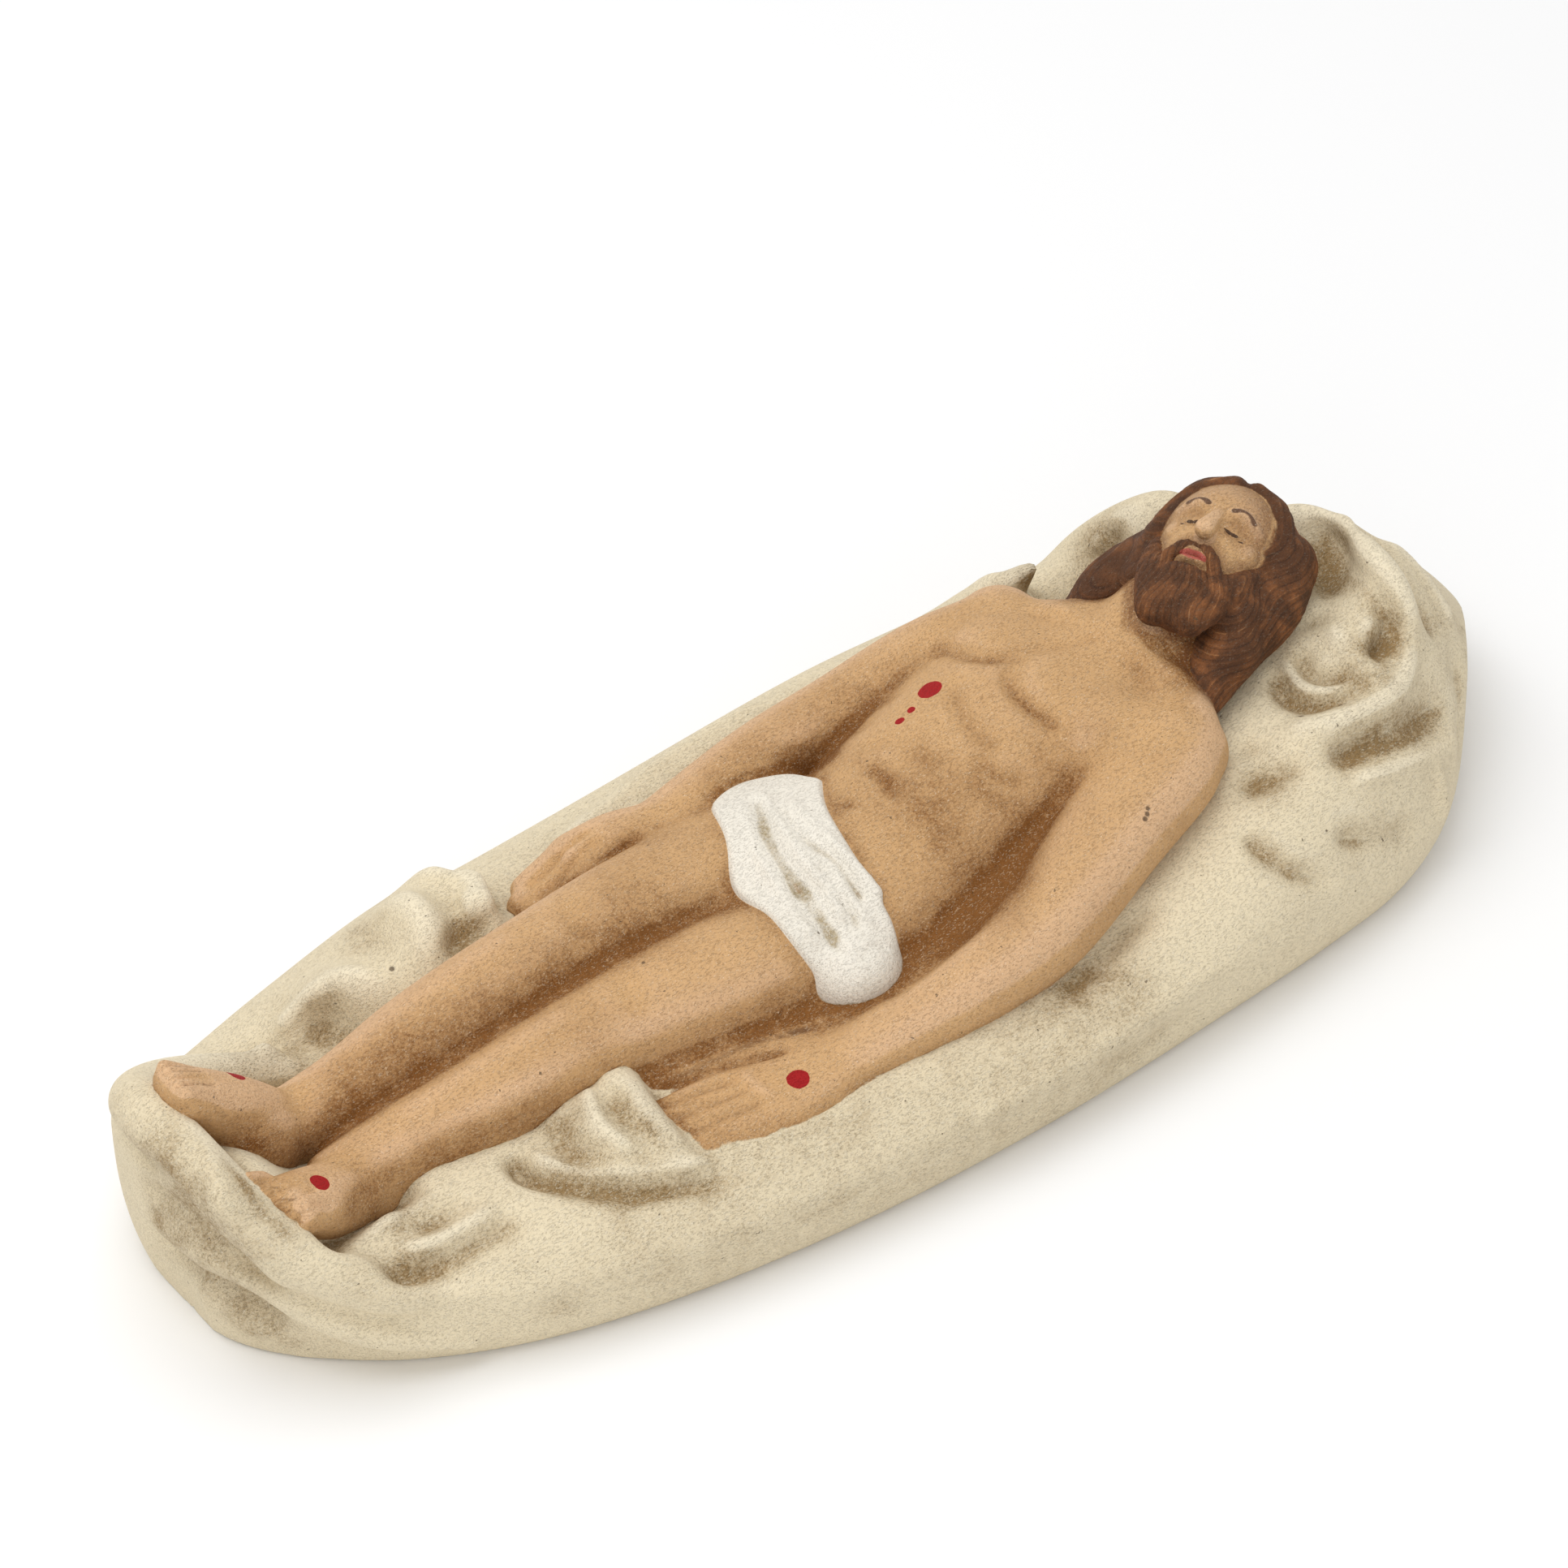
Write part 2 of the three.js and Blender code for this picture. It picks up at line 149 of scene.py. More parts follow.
def half_width(x, far):
    power = plan_power(x, far)
    u = np.clip(np.abs(2 * x / LENGTH), 0, 1)
    return full_width(x) * (1 - u**power) ** (1 / power) * np.where(far, 1, near_trim(x))


def in_from_edge(x, y):
    """How far a place in plan lies in from the shroud's edge, nearly."""
    side = y - axis_at(x)
    power = plan_power(x, side > 0)
    u = np.abs(2 * x / LENGTH)
    v = np.abs(side) / full_width(x)
    share = np.maximum((u**power + v**power) ** (1 / power), 0.1)
    slope = np.hypot(2 * u ** (power - 1) / LENGTH, v ** (power - 1) / full_width(x))
    return (1 - share) / np.maximum(slope * share ** (1 - power), 1e-3)


wall_height = profile([(-100, 21), (-94, 17), (-84, 11), (-70, 9), (100, 9)])
near_level = profile(
    [(-100, 22), (-92, 21), (-84, 17), (-70, 16), (-40, 15), (10, 15.5), (28, 18), (45, 22)]
    + [(62, 26), (74, 31), (84, 32), (100, 30)]
)
far_level = profile(
    [(-100, 25), (-92, 22), (-84, 15.6), (-76, 12.6), (-67, 14.8), (-50, 19.2), (-36, 15.4), (-20, 15)]
    + [(0, 16.4), (20, 17.8), (38, 17.8), (46, 20.8), (52, 19), (57, 20.8), (61, 27.4)]
    + [(67, 30.5), (74, 28.5), (84, 27), (100, 25)]
)
turn_width = profile([(-100, 3), (-90, 5), (-75, 12), (50, 15), (75, 22), (100, 26)])
turn_power = profile([(-100, 3), (-75, 2.4), (50, 2.2), (75, 1.6), (100, 1.3)])

# Broad folds over the cloth's level: (rise, width, crest in plan).
FOLDS = [
    # the hollow behind the far foot, and the bed under both
    (-6, 4, [(-86, 16), (-79, 19), (-73, 17.5)]),
    (4, 4.5, [(-90, 6), (-89, -1), (-88, -8)]),
    # far side: two gathered heaps beside the shin and the knee
    (4.6, 4, [(-66, 24), (-61.5, 21), (-59, 16)]),
    (6, 4, [(-51, 27), (-50, 21), (-54, 15)]),
    (6, 3.4, [(-45, 31), (-43, 26), (-41, 20), (-44, 17)]),
    (-4, 3, [(-66, 17), (-62, 13)]),
    # head end: the crest of the pillow, and its far hollow
    (2, 4, [(61, 21), (67, 17)]),
    (4, 4, [(75, 8), (79, 0), (80, -10), (77, -18)]),
    (4, 3.2, [(43, 30), (47, 26)]),
    (-3, 3, [(73, 2), (74, -4), (72, -8)]),
    (-4, 4, [(49, 24), (57, 19)]),
]


ROUNDED = 0.7  # under 1, the top rolls over into the wall without an edge
NEAR_SIDE, FAR_SIDE = -12, 18  # between these the near level gives way to the far one


def shroud_top(x, y, folds=FOLDS):
    """The height of the cloth over a place in plan."""
    level = near_level(x) + (far_level(x) - near_level(x)) * smoothstep(NEAR_SIDE, FAR_SIDE, y)
    plan = np.column_stack([x, y])
    for rise, width, crest in folds:
        level += rise * stroke(plan, crest, width)
    turn = np.clip(in_from_edge(x, y) / turn_width(x), 0, 1)
    wall = wall_height(x)
    return wall + (level - wall) * (1 - (1 - turn) ** turn_power(x)) ** ROUNDED


# Round a station, as shares of a turn: the top, the far wall, the underside and the near wall.
TOP, WALL, UNDERSIDE = 0.66, 0.08, 0.18
RIM_CROWDING = 0.85  # under 1, the points of the top crowd towards its rim
EVEN = 0.6  # share of even spacing from station to station; the rest crowds them to the ends


def solid_of(build, name):
    """A mesh object from a bmesh that holds closed shells, with all faces pointing out."""
    bmesh.ops.recalc_face_normals(build, faces=build.faces)
    mesh = bpy.data.meshes.new(name)
    build.to_mesh(mesh)
    build.free()
    piece = bpy.data.objects.new(name, mesh)
    bpy.context.scene.collection.objects.link(piece)
    return piece


def finished(piece):
    """Makes the piece's modifiers part of its mesh."""
    shaped = piece.evaluated_get(bpy.context.evaluated_depsgraph_get())
    mesh = bpy.data.meshes.new_from_object(shaped)
    old = piece.data
    piece.modifiers.clear()
    piece.data = mesh
    bpy.data.meshes.remove(old)
    return piece


def places(mesh):
    """The mesh's points, one row each."""
    flat = np.empty(3 * len(mesh.vertices), np.float32)
    mesh.vertices.foreach_get("co", flat)
    return flat.reshape(-1, 3).astype(float)


def put(mesh, points):
    mesh.vertices.foreach_set("co", points.astype(np.float32).ravel())
    mesh.update()


balls = {}


def ball_in(into, around, rows):
    """A new ball of clay in the bmesh, and its vertices."""
    if (around, rows) not in balls:
        build = bmesh.new()
        bmesh.ops.create_uvsphere(build, u_segments=around, v_segments=rows, radius=1)
        balls[around, rows] = bpy.data.meshes.new("ball")
        build.to_mesh(balls[around, rows])
        build.free()
    before = len(into.verts)
    into.from_mesh(balls[around, rows])
    into.verts.ensure_lookup_table()
    return into.verts[before:]


def limb(into, stations, around=36, rows=44, cap=0.2):
    """A tapered limb through stations (x, y, z, half width, half height), round at both ends."""
    verts = ball_in(into, around, rows)
    ball = np.array([v.co for v in verts])
    row = np.arccos(np.clip(ball[:, 2], -1, 1)) / np.pi
    t = np.clip((row - cap) / (1 - 2 * cap), 0, 1)
    share = np.minimum(np.minimum(row, 1 - row), cap) / cap
    spine = [station[:3] for station in stations]
    girth = [(station[3], station[-1]) for station in stations]
    size = curve(girth, t)
    forward = curve(spine, t + 0.005) - curve(spine, t - 0.005)
    forward /= np.linalg.norm(forward, axis=1)[:, None]
    side = np.cross((0, 0, 1), forward)
    side /= np.linalg.norm(side, axis=1)[:, None]
    top = np.cross(forward, side)
    angle = np.arctan2(ball[:, 1], ball[:, 0])
    ring = np.sin(share * np.pi / 2)
    bulge = np.cos(share * np.pi / 2) * np.where(row < 0.5, -1, 1)
    place = curve(spine, t) + forward * (bulge * size.min(axis=1))[:, None]
    place += side * (ring * size[:, 0] * np.cos(angle))[:, None]
    place += top * (ring * size[:, 1] * np.sin(angle))[:, None]
    for v, co in zip(verts, place):
        v.co = co


def lump(into, centre, half_sizes, turned=0, raised=0):
    """A rounded lump: an ellipsoid, turned about Z and tipped so that its +X end rises."""
    pose = Matrix.Translation(centre) @ Euler(
        (0, math.radians(-raised), math.radians(turned)), "XYZ"
    ).to_matrix().to_4x4()
    verts = ball_in(into, 36, 24)
    for v in verts:
        v.co = pose @ Vector(a * b for a, b in zip(v.co, half_sizes))


def merged(piece, grain):
    """The piece's shells melted into one skin of small even faces."""
    remesh = piece.modifiers.new("merge", "REMESH")
    remesh.mode = "VOXEL"
    remesh.voxel_size = grain
    return finished(piece)


def thinned(piece, share):
    """The skin with fewer faces where it is flat; share is how many are kept."""
    thin = piece.modifiers.new("thin", "DECIMATE")
    thin.ratio = share
    return finished(piece)


def relax(mesh, rounds, ridges=0.1, hollows=0.6):
    """Wet-brush smoothing: the hollows fill in fast, and the ridges wear down slowly."""
    edges = np.empty(2 * len(mesh.edges), np.int32)
    mesh.edges.foreach_get("vertices", edges)
    a, b = edges.reshape(-1, 2).T
    count = len(mesh.vertices)
    degree = np.bincount(a, minlength=count) + np.bincount(b, minlength=count)
    for _ in range(rounds):
        points = places(mesh)
        pull = -points
        for axis in range(3):
            values = points[:, axis]
            total = np.bincount(a, values[b], count) + np.bincount(b, values[a], count)
            pull[:, axis] += total / degree
        outward = (pull * normals_of(mesh)).sum(axis=1)
        put(mesh, points + pull * np.where(outward > 0, hollows, ridges)[:, None])


def normals_of(mesh):
    flat = np.empty(3 * len(mesh.vertices), np.float32)
    mesh.vertices.foreach_get("normal", flat)
    return flat.reshape(-1, 3).astype(float)


def tree_of(mesh):
    return BVHTree.FromPolygons([v.co for v in mesh.vertices], [p.vertices for p in mesh.polygons])


LINE_STEPS = 6  # steps in which a stroke's line is laid on the skin, for each of its points


def worked(mesh, strokes):
    """What strokes of (strength, width, line) leave at each point; the lines are laid on the skin."""
    tree = tree_of(mesh)
    points = places(mesh)
    total = np.zeros(len(points))
    for strength, width, line in strokes:
        path = curve(line, np.linspace(0, 1, LINE_STEPS * len(line)))
        laid = [tree.find_nearest(Vector(place))[0] for place in path]
        total += strength * stroke(points, laid, width)
    return total


def carve(piece, strokes):
    """Raises or sinks the skin along strokes of (rise, width, line)."""
    rise = worked(piece.data, strokes)
    put(piece.data, places(piece.data) + normals_of(piece.data) * rise[:, None])


build = bmesh.new()
bmesh.ops.create_uvsphere(build, u_segments=92, v_segments=84, radius=1)
shroud = solid_of(build, "shroud")
finer = shroud.modifiers.new("finer", "SUBSURF")
finer.subdivision_type = "SIMPLE"
finer.levels = finer.render_levels = 2
finished(shroud)
ball = places(shroud.data)
ball /= np.linalg.norm(ball, axis=1)[:, None]
row = np.arccos(np.clip(-ball[:, 2], -1, 1)) / np.pi
along = EVEN * row + (1 - EVEN) * (1 - np.cos(np.pi * row)) / 2
x = LENGTH / 2 * (2 * along - 1)
turn = (np.arctan2(ball[:, 1], ball[:, 0]) / (2 * np.pi)) % 1
across = np.interp(
    turn,
    [0, TOP / 2, TOP, TOP + WALL, TOP + WALL + UNDERSIDE, 1 - 1e-9, 1],
    [-1, 0, 1, 1, -1, -1, -1],
)
across = np.sign(across) * np.abs(across) ** np.where(turn < TOP, RIM_CROWDING, 1)
drop = np.interp(turn, [0, TOP, TOP + WALL, TOP + WALL + UNDERSIDE, 1], [0, 0, 1, 1, 0])
inward = 1 - UNDERCUT * drop**3
y = axis_at(x) + across * half_width(x, across > 0) * inward
z = np.where(turn <= TOP, shroud_top(x, y), wall_height(x) * (1 - drop))
put(shroud.data, np.column_stack([x * (1 + inward) / 2, y, z]))

build = bmesh.new()
build.from_mesh(shroud.data)
bpy.data.objects.remove(shroud)
# the roll that holds up the toes, the hem that hangs outside it, and the fold over the fingertips
limb(
    build,
    [
        (-70, 18, 11, 2.6),
        (-79, 20.5, 14, 3),
        (-88, 19.6, 19.6, 3),
        (-94.8, 15.4, 25, 3.3),
        (-97.6, 9.6, 28.8, 3.5),
        (-97.4, 2.6, 28.4, 3.6),
        (-96, -4, 25.4, 3.6),
        (-93.6, -10, 21.2, 3.4),
        (-88.8, -15.5, 16.6, 3.2),
        (-82, -19.5, 12.6, 2.8),
        (-74, -20, 10.6, 2.4),
    ],
    rows=120,
    cap=0.05,
)
limb(
    build,
    [
        (-95.8, 16, 13, 2.4),
        (-97.6, 7, 14.4, 2.5),
        (-97.2, -2, 15.8, 2.6),
        (-94.6, -8, 15, 2.6),
        (-90.8, -13.8, 11, 2.5),
        (-85.4, -19.2, 7.6, 2.1),
        (-76, -24.4, 4, 0.9),
    ],
    rows=100,
    cap=0.05,
)
limb(
    build,
    [
        (-44, -8.6, 13.6, 3.6, 4),
        (-45.8, -14, 15, 3.6, 4.2),
        (-46.4, -20, 14.4, 3.6, 4),
        (-44, -27, 10.6, 3.6, 3.2),
    ],
)
lump(build, (-50, -15.4, 12.6), (8.4, 9.4, 5.6), turned=20)
# what fills the pocket under the far foot, and the wall under the roll
limb(build, [(-86, 10, 14, 4, 5), (-92, 10, 20, 4, 5), (-96, 9.4, 26, 3.6, 3.6)])
limb(build, [(-94, 12, 22, 3, 4), (-96, 6, 24, 3, 4), (-96.2, 0, 23.6, 3, 4), (-94.4, -6, 20.6, 2.6, 3.4)])
shroud = merged(solid_of(build, "shroud"), 0.55)
relax(shroud.data, 12)

# What the tools drew into the soft cloth: (rise, width, line over the surface).
DRAPERY = [
    # outside of the roll at the foot end
    (-1.4, 2.2, [(-99.3, 10.4, 25), (-99, 6, 24.6)]),
    (-2, 1.9, [(-99.4, 7, 19.4), (-99.3, -1, 20.4), (-97.6, -7.4, 18.8), (-94, -12.4, 15.4)]),
    (-2.8, 2, [(-98.8, 6, 10), (-99, -3.6, 10.6), (-97.2, -8, 9.4), (-95, -11, 7)]),
    (
        1.2,
        1.6,
        [(-96.6, -2, 30.4), (-97.6, -5.8, 28), (-97.3, -8.4, 25.9), (-95.9, -12.5, 21), (-93.5, -14, 13)],
    ),
    (-0.9, 1.8, [(-99.6, 4, 28), (-99.8, 0, 26), (-99.6, -3, 23)]),
    # near foot: pocket beside the heel, then two crests and two hollows that follow it
    (-2.4, 1.9, [(-87.5, -13, 20), (-84, -11, 19), (-78, -8.9, 17), (-73, -8.6, 16)]),
    (0.8, 1.4, [(-85.8, -13.4, 18), (-80.7, -12, 16.5), (-77.5, -11.6, 16)]),
    (-1.3, 1.8, [(-77, -14.6, 16), (-74, -15, 16), (-70, -14.2, 16)]),
    (0.7, 1.4, [(-80, -17, 15.5), (-74.5, -17.8, 15.4), (-68, -18, 15)]),
    (-1.9, 2, [(-84, -18.4, 14.5), (-79, -19.7, 14), (-72.6, -19.8, 14), (-66.5, -20.2, 14)]),
    # fold over the fingertips
    (1.1, 1.2, [(-48.6, -10, 19), (-50.4, -13.4, 18.8), (-51.4, -17, 17.6), (-50, -20.6, 16)]),
    (-1.3, 1.9, [(-54.6, -11.6, 17), (-55.2, -15.5, 15.4), (-53, -19, 15)]),
    (-1, 1.6, [(-47, -13, 19), (-47.6, -17, 18), (-46.6, -21.6, 16.6)]),
    (0.8, 1.4, [(-59, -14, 14.6), (-56, -19, 14.7), (-50.4, -23, 14.6), (-43, -26.4, 14.3)]),
    (-1.7, 1.5, [(-60.9, -12, 14.9), (-61.4, -15.3, 13.6), (-58.6, -19.8, 12.6), (-52.7, -24.8, 12.6)]),
    (-1.2, 1.5, [(-52.7, -24.8, 12.6), (-47.5, -26.6, 12.4), (-42, -28.5, 12)]),
    # far side
    (-1.4, 2.2, [(-65.5, 19.4, 19.9), (-68.7, 18.6, 16.8), (-65.3, 16.2, 16.3)]),
    (0.9, 1.3, [(-66.7, 22.8, 20.7), (-70.2, 23.4, 17), (-74, 21.5, 16)]),
    (-1.3, 1.8, [(-37.3, 25, 19.3), (-38.4, 21, 19.5), (-44.2, 18.4, 20), (-51, 16, 21)]),
    (0.9, 1.2, [(-42, 25.5, 21), (-42.4, 21, 21), (-46.5, 17, 20)]),
    (-1, 2, [(15, 28, 17), (4, 28, 16), (-6, 28, 15)]),
    (0.8, 1.6, [(10, 33, 14), (-4, 33, 14), (-17, 30, 16), (-24, 28, 16)]),
    # pillow: hollow beside the hair, the long crest, the valley outside it and the outer crest
    (-2, 2.4, [(76.1, 1, 33), (75.6, -2.8, 32), (74, -4.6, 29.3)]),
    (1.5, 1.9, [(78.8, -0.6, 35), (78, -5.7, 34), (77.6, -9.5, 32.4), (77.2, -13, 31), (76.4, -17.4, 28)]),
    (-2, 2.1, [(80, -3, 33), (80.6, -8, 32.4), (80.8, -12.5, 29.6), (82, -17, 24)]),
    (1.2, 1.6, [(83.6, -5, 30), (86, -10, 26), (87, -15, 21)]),
    # the swirl: a deep crescent, a bump, and two crescents round them
    (-2.4, 1.7, [(74.6, -12.6, 29.6), (74.4, -16, 28.4), (72, -17.8, 27.8), (69.4, -17, 27)]),
    (1, 1.5, [(68.6, -12, 28), (67.6, -15, 26.6)]),
    (-1.5, 1.3, [(63.3, -11.3, 26.8), (62.1, -14, 26.4), (63, -16.9, 26.2), (66, -18.4, 26.3)]),
    (
        -1.5,
        1.4,
        [(59, -11.6, 26.1), (57.4, -14.6, 25.6), (58.6, -18, 25), (62.4, -20, 24.8), (66.4, -20, 25)],
    ),
    (0.8, 1.2, [(61, -11, 26.6), (59.8, -14.4, 26), (60.8, -17.6, 25.6), (64.4, -19, 25.4)]),
    (-1.2, 1.5, [(65.7, -8.4, 29.3), (69, -9.6, 29.6)]),
    (-1.2, 1.7, [(47, -16.6, 26), (50.4, -18.6, 23.4)]),
    (1, 1.8, [(54, -20, 24), (59, -21.6, 23.8), (65, -22.4, 24), (71, -22, 24.2), (75, -19.6, 26)]),
    # long valley under it, with a crisp lower edge, and the pit beside the shoulder
    (-2, 2.1, [(56.7, -25.6, 22.6), (62, -26, 22), (68.7, -25.4, 20.6), (76, -23.6, 18)]),
    (1.1, 1.3, [(58, -28.6, 20.6), (64, -29, 19), (71, -28, 16.4), (77, -25.8, 14)]),
    (-1.9, 2.2, [(44.6, -22.8, 21), (48.6, -22.6, 21), (52, -24, 21.6)]),
    (-1, 1.5, [(51.7, -31.4, 16), (56, -32.4, 14), (64, -31.6, 11)]),
    (-1.1, 1.4, [(40.5, -27.5, 19.4), (41.4, -30.3, 18), (43.6, -33, 15.6), (48, -34.4, 13)]),
    (1, 1.3, [(71.3, -30, 7.6), (71.4, -29.4, 11), (72, -28.4, 14)]),
    (-1, 1.8, [(83.8, -18.5, 19.2), (81.6, -22.7, 14.8), (78.3, -26, 11.6)]),
    (-1, 2, [(57, 21, 27), (53, 22.4, 24), (47, 18, 24)]),
    (0.9, 1.3, [(55, 23, 26), (51, 24.6, 24), (46, 25.6, 22)]),
    # the soft hollow along the near elbow, and the rim of the near wall
    (-1.6, 2.4, [(24, -27.6, 20), (17, -29, 19), (9, -31.4, 16)]),
    (0.7, 1.4, [(44, -35.6, 9), (28, -35.4, 11), (10, -36.4, 10), (-10, -36.4, 9.6)]),
    (-0.8, 2, [(26, -36.8, 6), (10, -37.6, 5.4)]),
]
carve(shroud, DRAPERY)
thinned(shroud, 0.31)


# The body lies on the cloth, pressed half into it. It is built up from tapered limbs and rounded
# lumps of clay, then smoothed over with a wet brush so that no joins show.
build = bmesh.new()
# trunk
limb(
    build,
    [
        (-15, 1, 14.5, 13, 8),
        (-6, 0.2, 15.5, 16.2, 10),
        (4, -0.2, 16, 15.4, 10.6),
        (15, 1.4, 18.5, 15, 11.6),
        (27, 3, 21, 15.5, 11.8),
        (37, 2.5, 22, 15, 10.5),
        (45, 1.5, 24.6, 11, 8),
    ],
    around=64,
    rows=64,
    cap=1 / 7,
)
# chest
lump(build, (34, -5.5, 26.1), (9.5, 9.5, 6), turned=-20, raised=-6)
lump(build, (32.5, 10.5, 26.4), (9, 8.5, 5.8), turned=20, raised=-6)
# shoulders, and the collar from one to the other
lump(build, (38, -12, 24), (9.4, 8, 7), turned=-35, raised=4)
lump(build, (35.4, 14.8, 24.8), (9, 6.8, 6.2), turned=50, raised=5)
limb(build, [(37.4, 14.6, 25.2, 5, 5), (46, 2, 27, 6, 5), (42.6, -12, 25.8, 5, 5)])
# throat, and the cords of the neck
limb(build, [(42, 1, 26, 7, 6.4), (50, 1.6, 29, 6.8, 6.5), (57, 2.8, 31, 6.6, 6)])
limb(build, [(44, -4, 26, 4.6, 4.8), (50.4, -4.2, 26.6, 5, 4.6), (57, -2.6, 28.6, 5, 5)])
# legs
limb(
    build,
    [
        (-2, 10.5, 15, 8.5),
        (-24, 9.5, 17.5, 8.2),
        (-46, 8, 20.5, 6.2),
        (-61, 7.2, 20, 5.6),
        (-72, 6.6, 18.6, 4.8),
        (-82, 6.5, 17.5, 4.6),
    ],
    around=48,
    rows=64,
)
limb(
    build,
    [
        (-3, -7, 13, 8.8),
        (-24, -4.5, 15, 8.8),
        (-45, -3.4, 16.6, 6.8),
        (-58, -3.6, 16.2, 6.4),
        (-70, -3, 16, 5.2),
        (-80, -3.6, 16, 4.6),
    ],
    around=48,
    rows=64,
)
# the clay left between the legs, which sinks towards the feet
limb(build, [(-14, 2.5, 15, 6, 6), (-34, 3.2, 15, 5, 6), (-56, 2.5, 14.2, 5, 5.5), (-78, 1, 9.4, 4, 4)])

TOES = 5
BIG_TOE, SMALL_TOE = 1.25, 0.9


def foot(into, stations, first, last, reach):
    """Heel, ankle and ball, and the ends of a row of toes from the big one to the small one."""
    limb(into, stations)
    for i in range(TOES):
        t = i / (TOES - 1)
        tip = np.array(first) * (1 - t) + np.array(last) * t
        thick = BIG_TOE - (BIG_TOE - SMALL_TOE) * t
        limb(into, [(*(tip + reach), thick), (*tip, thick)], 16, 16)


foot(
    build,
    [
        (-79, 6.5, 14.6, 4.4),
        (-83, 6.6, 19, 4.2, 5),
        (-87.5, 6.8, 24.6, 4.2, 4.6),
        (-91.5, 7.2, 29.2, 4.2, 3.4),
        (-94, 7.4, 31.8, 4.4, 2.6),
    ],
    first=(-95, 4.6, 34),
    last=(-94.2, 10.2, 34),
    reach=np.array((2.4, 0, -2.4)),
)
lump(build, (-85.4, 5.2, 19.6), (7.4, 4.4, 5.4), raised=-50)
lump(build, (-83.4, -4.6, 14.6), (6.6, 4.2, 4.4), raised=-40)
foot(
    build,
    [
        (-77, -4.5, 13, 4.6),
        (-82, -5.6, 16.4, 4.6, 4.8),
        (-86.5, -6.8, 19.8, 4.8, 4),
        (-90, -7.8, 23, 4.6, 2.4),
    ],
    first=(-93.4, -5, 26.6),
    last=(-90.6, -11.6, 22.2),
    reach=np.array((2.6, 0.6, -2)),
)
# arms, and the clay that joins them to the flanks
limb(
    build,
    [
        (41, -13, 24, 7, 6),
        (36, -15, 24, 7.8, 6.2),
        (26, -18.4, 22, 7, 6.4),
        (12, -23.2, 18.4, 5.9, 6),
        (0, -24.5, 16.8, 5.1, 5.2),
        (-9, -24.2, 15.6, 4.5, 4.4),
        (-20, -23.6, 14.6, 4, 3.2),
    ],
    around=48,
    rows=64,
)
limb(build, [(34, -9.4, 20, 6, 6.5), (18, -15, 16.4, 5, 6), (0, -18, 13.6, 5, 5), (-20, -18, 12, 4, 4)])
limb(
    build,
    [
        (36.4, 16, 24.6, 6.4, 6.2),
        (27, 19, 23, 6),
        (14, 21, 20, 5.6, 5.2),
        (0, 20.6, 20, 4.8),
        (-17, 18.5, 20.2, 3.8, 3.2),
    ],
    around=48,
    rows=64,
)
limb(build, [(30, 14, 17, 5, 6), (12, 15, 13, 5, 5.5), (-6, 15.5, 13, 5, 5.5), (-26, 16, 12.5, 4, 4)])


FINGERS = 4
LITTLE_FINGER = 0.82  # its length, to the others'
CLOSING = 0.97  # how far from the middle of the figure a fingertip lies, to its root


def hand(into, stations, first, last, reach, drop, thick, thumb):
    """The back of a hand, palm down, and four fingers and a thumb fanned from it."""
    limb(into, stations)
    for i in range(FINGERS):
        t = i / (FINGERS - 1)
        root = np.array(first) * (1 - t) + np.array(last) * t
        length = reach * (LITTLE_FINGER if i == FINGERS - 1 else 1)
        tip = (root[0] - length, root[1] * CLOSING, root[2] - drop)
        limb(into, [(*root, thick), (*tip, 0.95 * thick)], 20, 24)
    limb(into, [(*place, thick) for place in thumb], 20, 24)


hand(
    build,
    [
        (-18, -23.4, 14.2, 4.2, 3.2),
        (-26, -22.4, 13.8, 6.2, 3.4),
        (-35, -20.6, 13.4, 7, 3),
        (-43, -19, 13, 6.4, 2.8),
    ],
    first=(-33, -16.6, 14),
    last=(-32, -24.6, 13),
    reach=14,
    drop=0.2,
    thick=2.5,
    thumb=[(-22, -18.4, 13.8), (-31, -14.8, 13.8), (-39, -12.6, 13.6)],
)
limb(build, [(-12, -18, 12.6, 4, 4), (-26, -15.4, 12.4, 4, 3.6), (-42, -11.4, 12.4, 4, 3.4)])
hand(
    build,
    [(-16, 18.5, 20, 3.8, 3.2), (-22, 19, 20.4, 5, 3.2), (-28, 19.5, 19.6, 5.4, 2.8)],
    first=(-27, 16.5, 19.8),
    last=(-26, 23.4, 19.4),
    reach=10,
    drop=2.4,
    thick=1.8,
    thumb=[(-20, 15.5, 20), (-29, 13.5, 18.4)],
)
body = merged(solid_of(build, "body"), 0.45)
relax(body.data, 40)

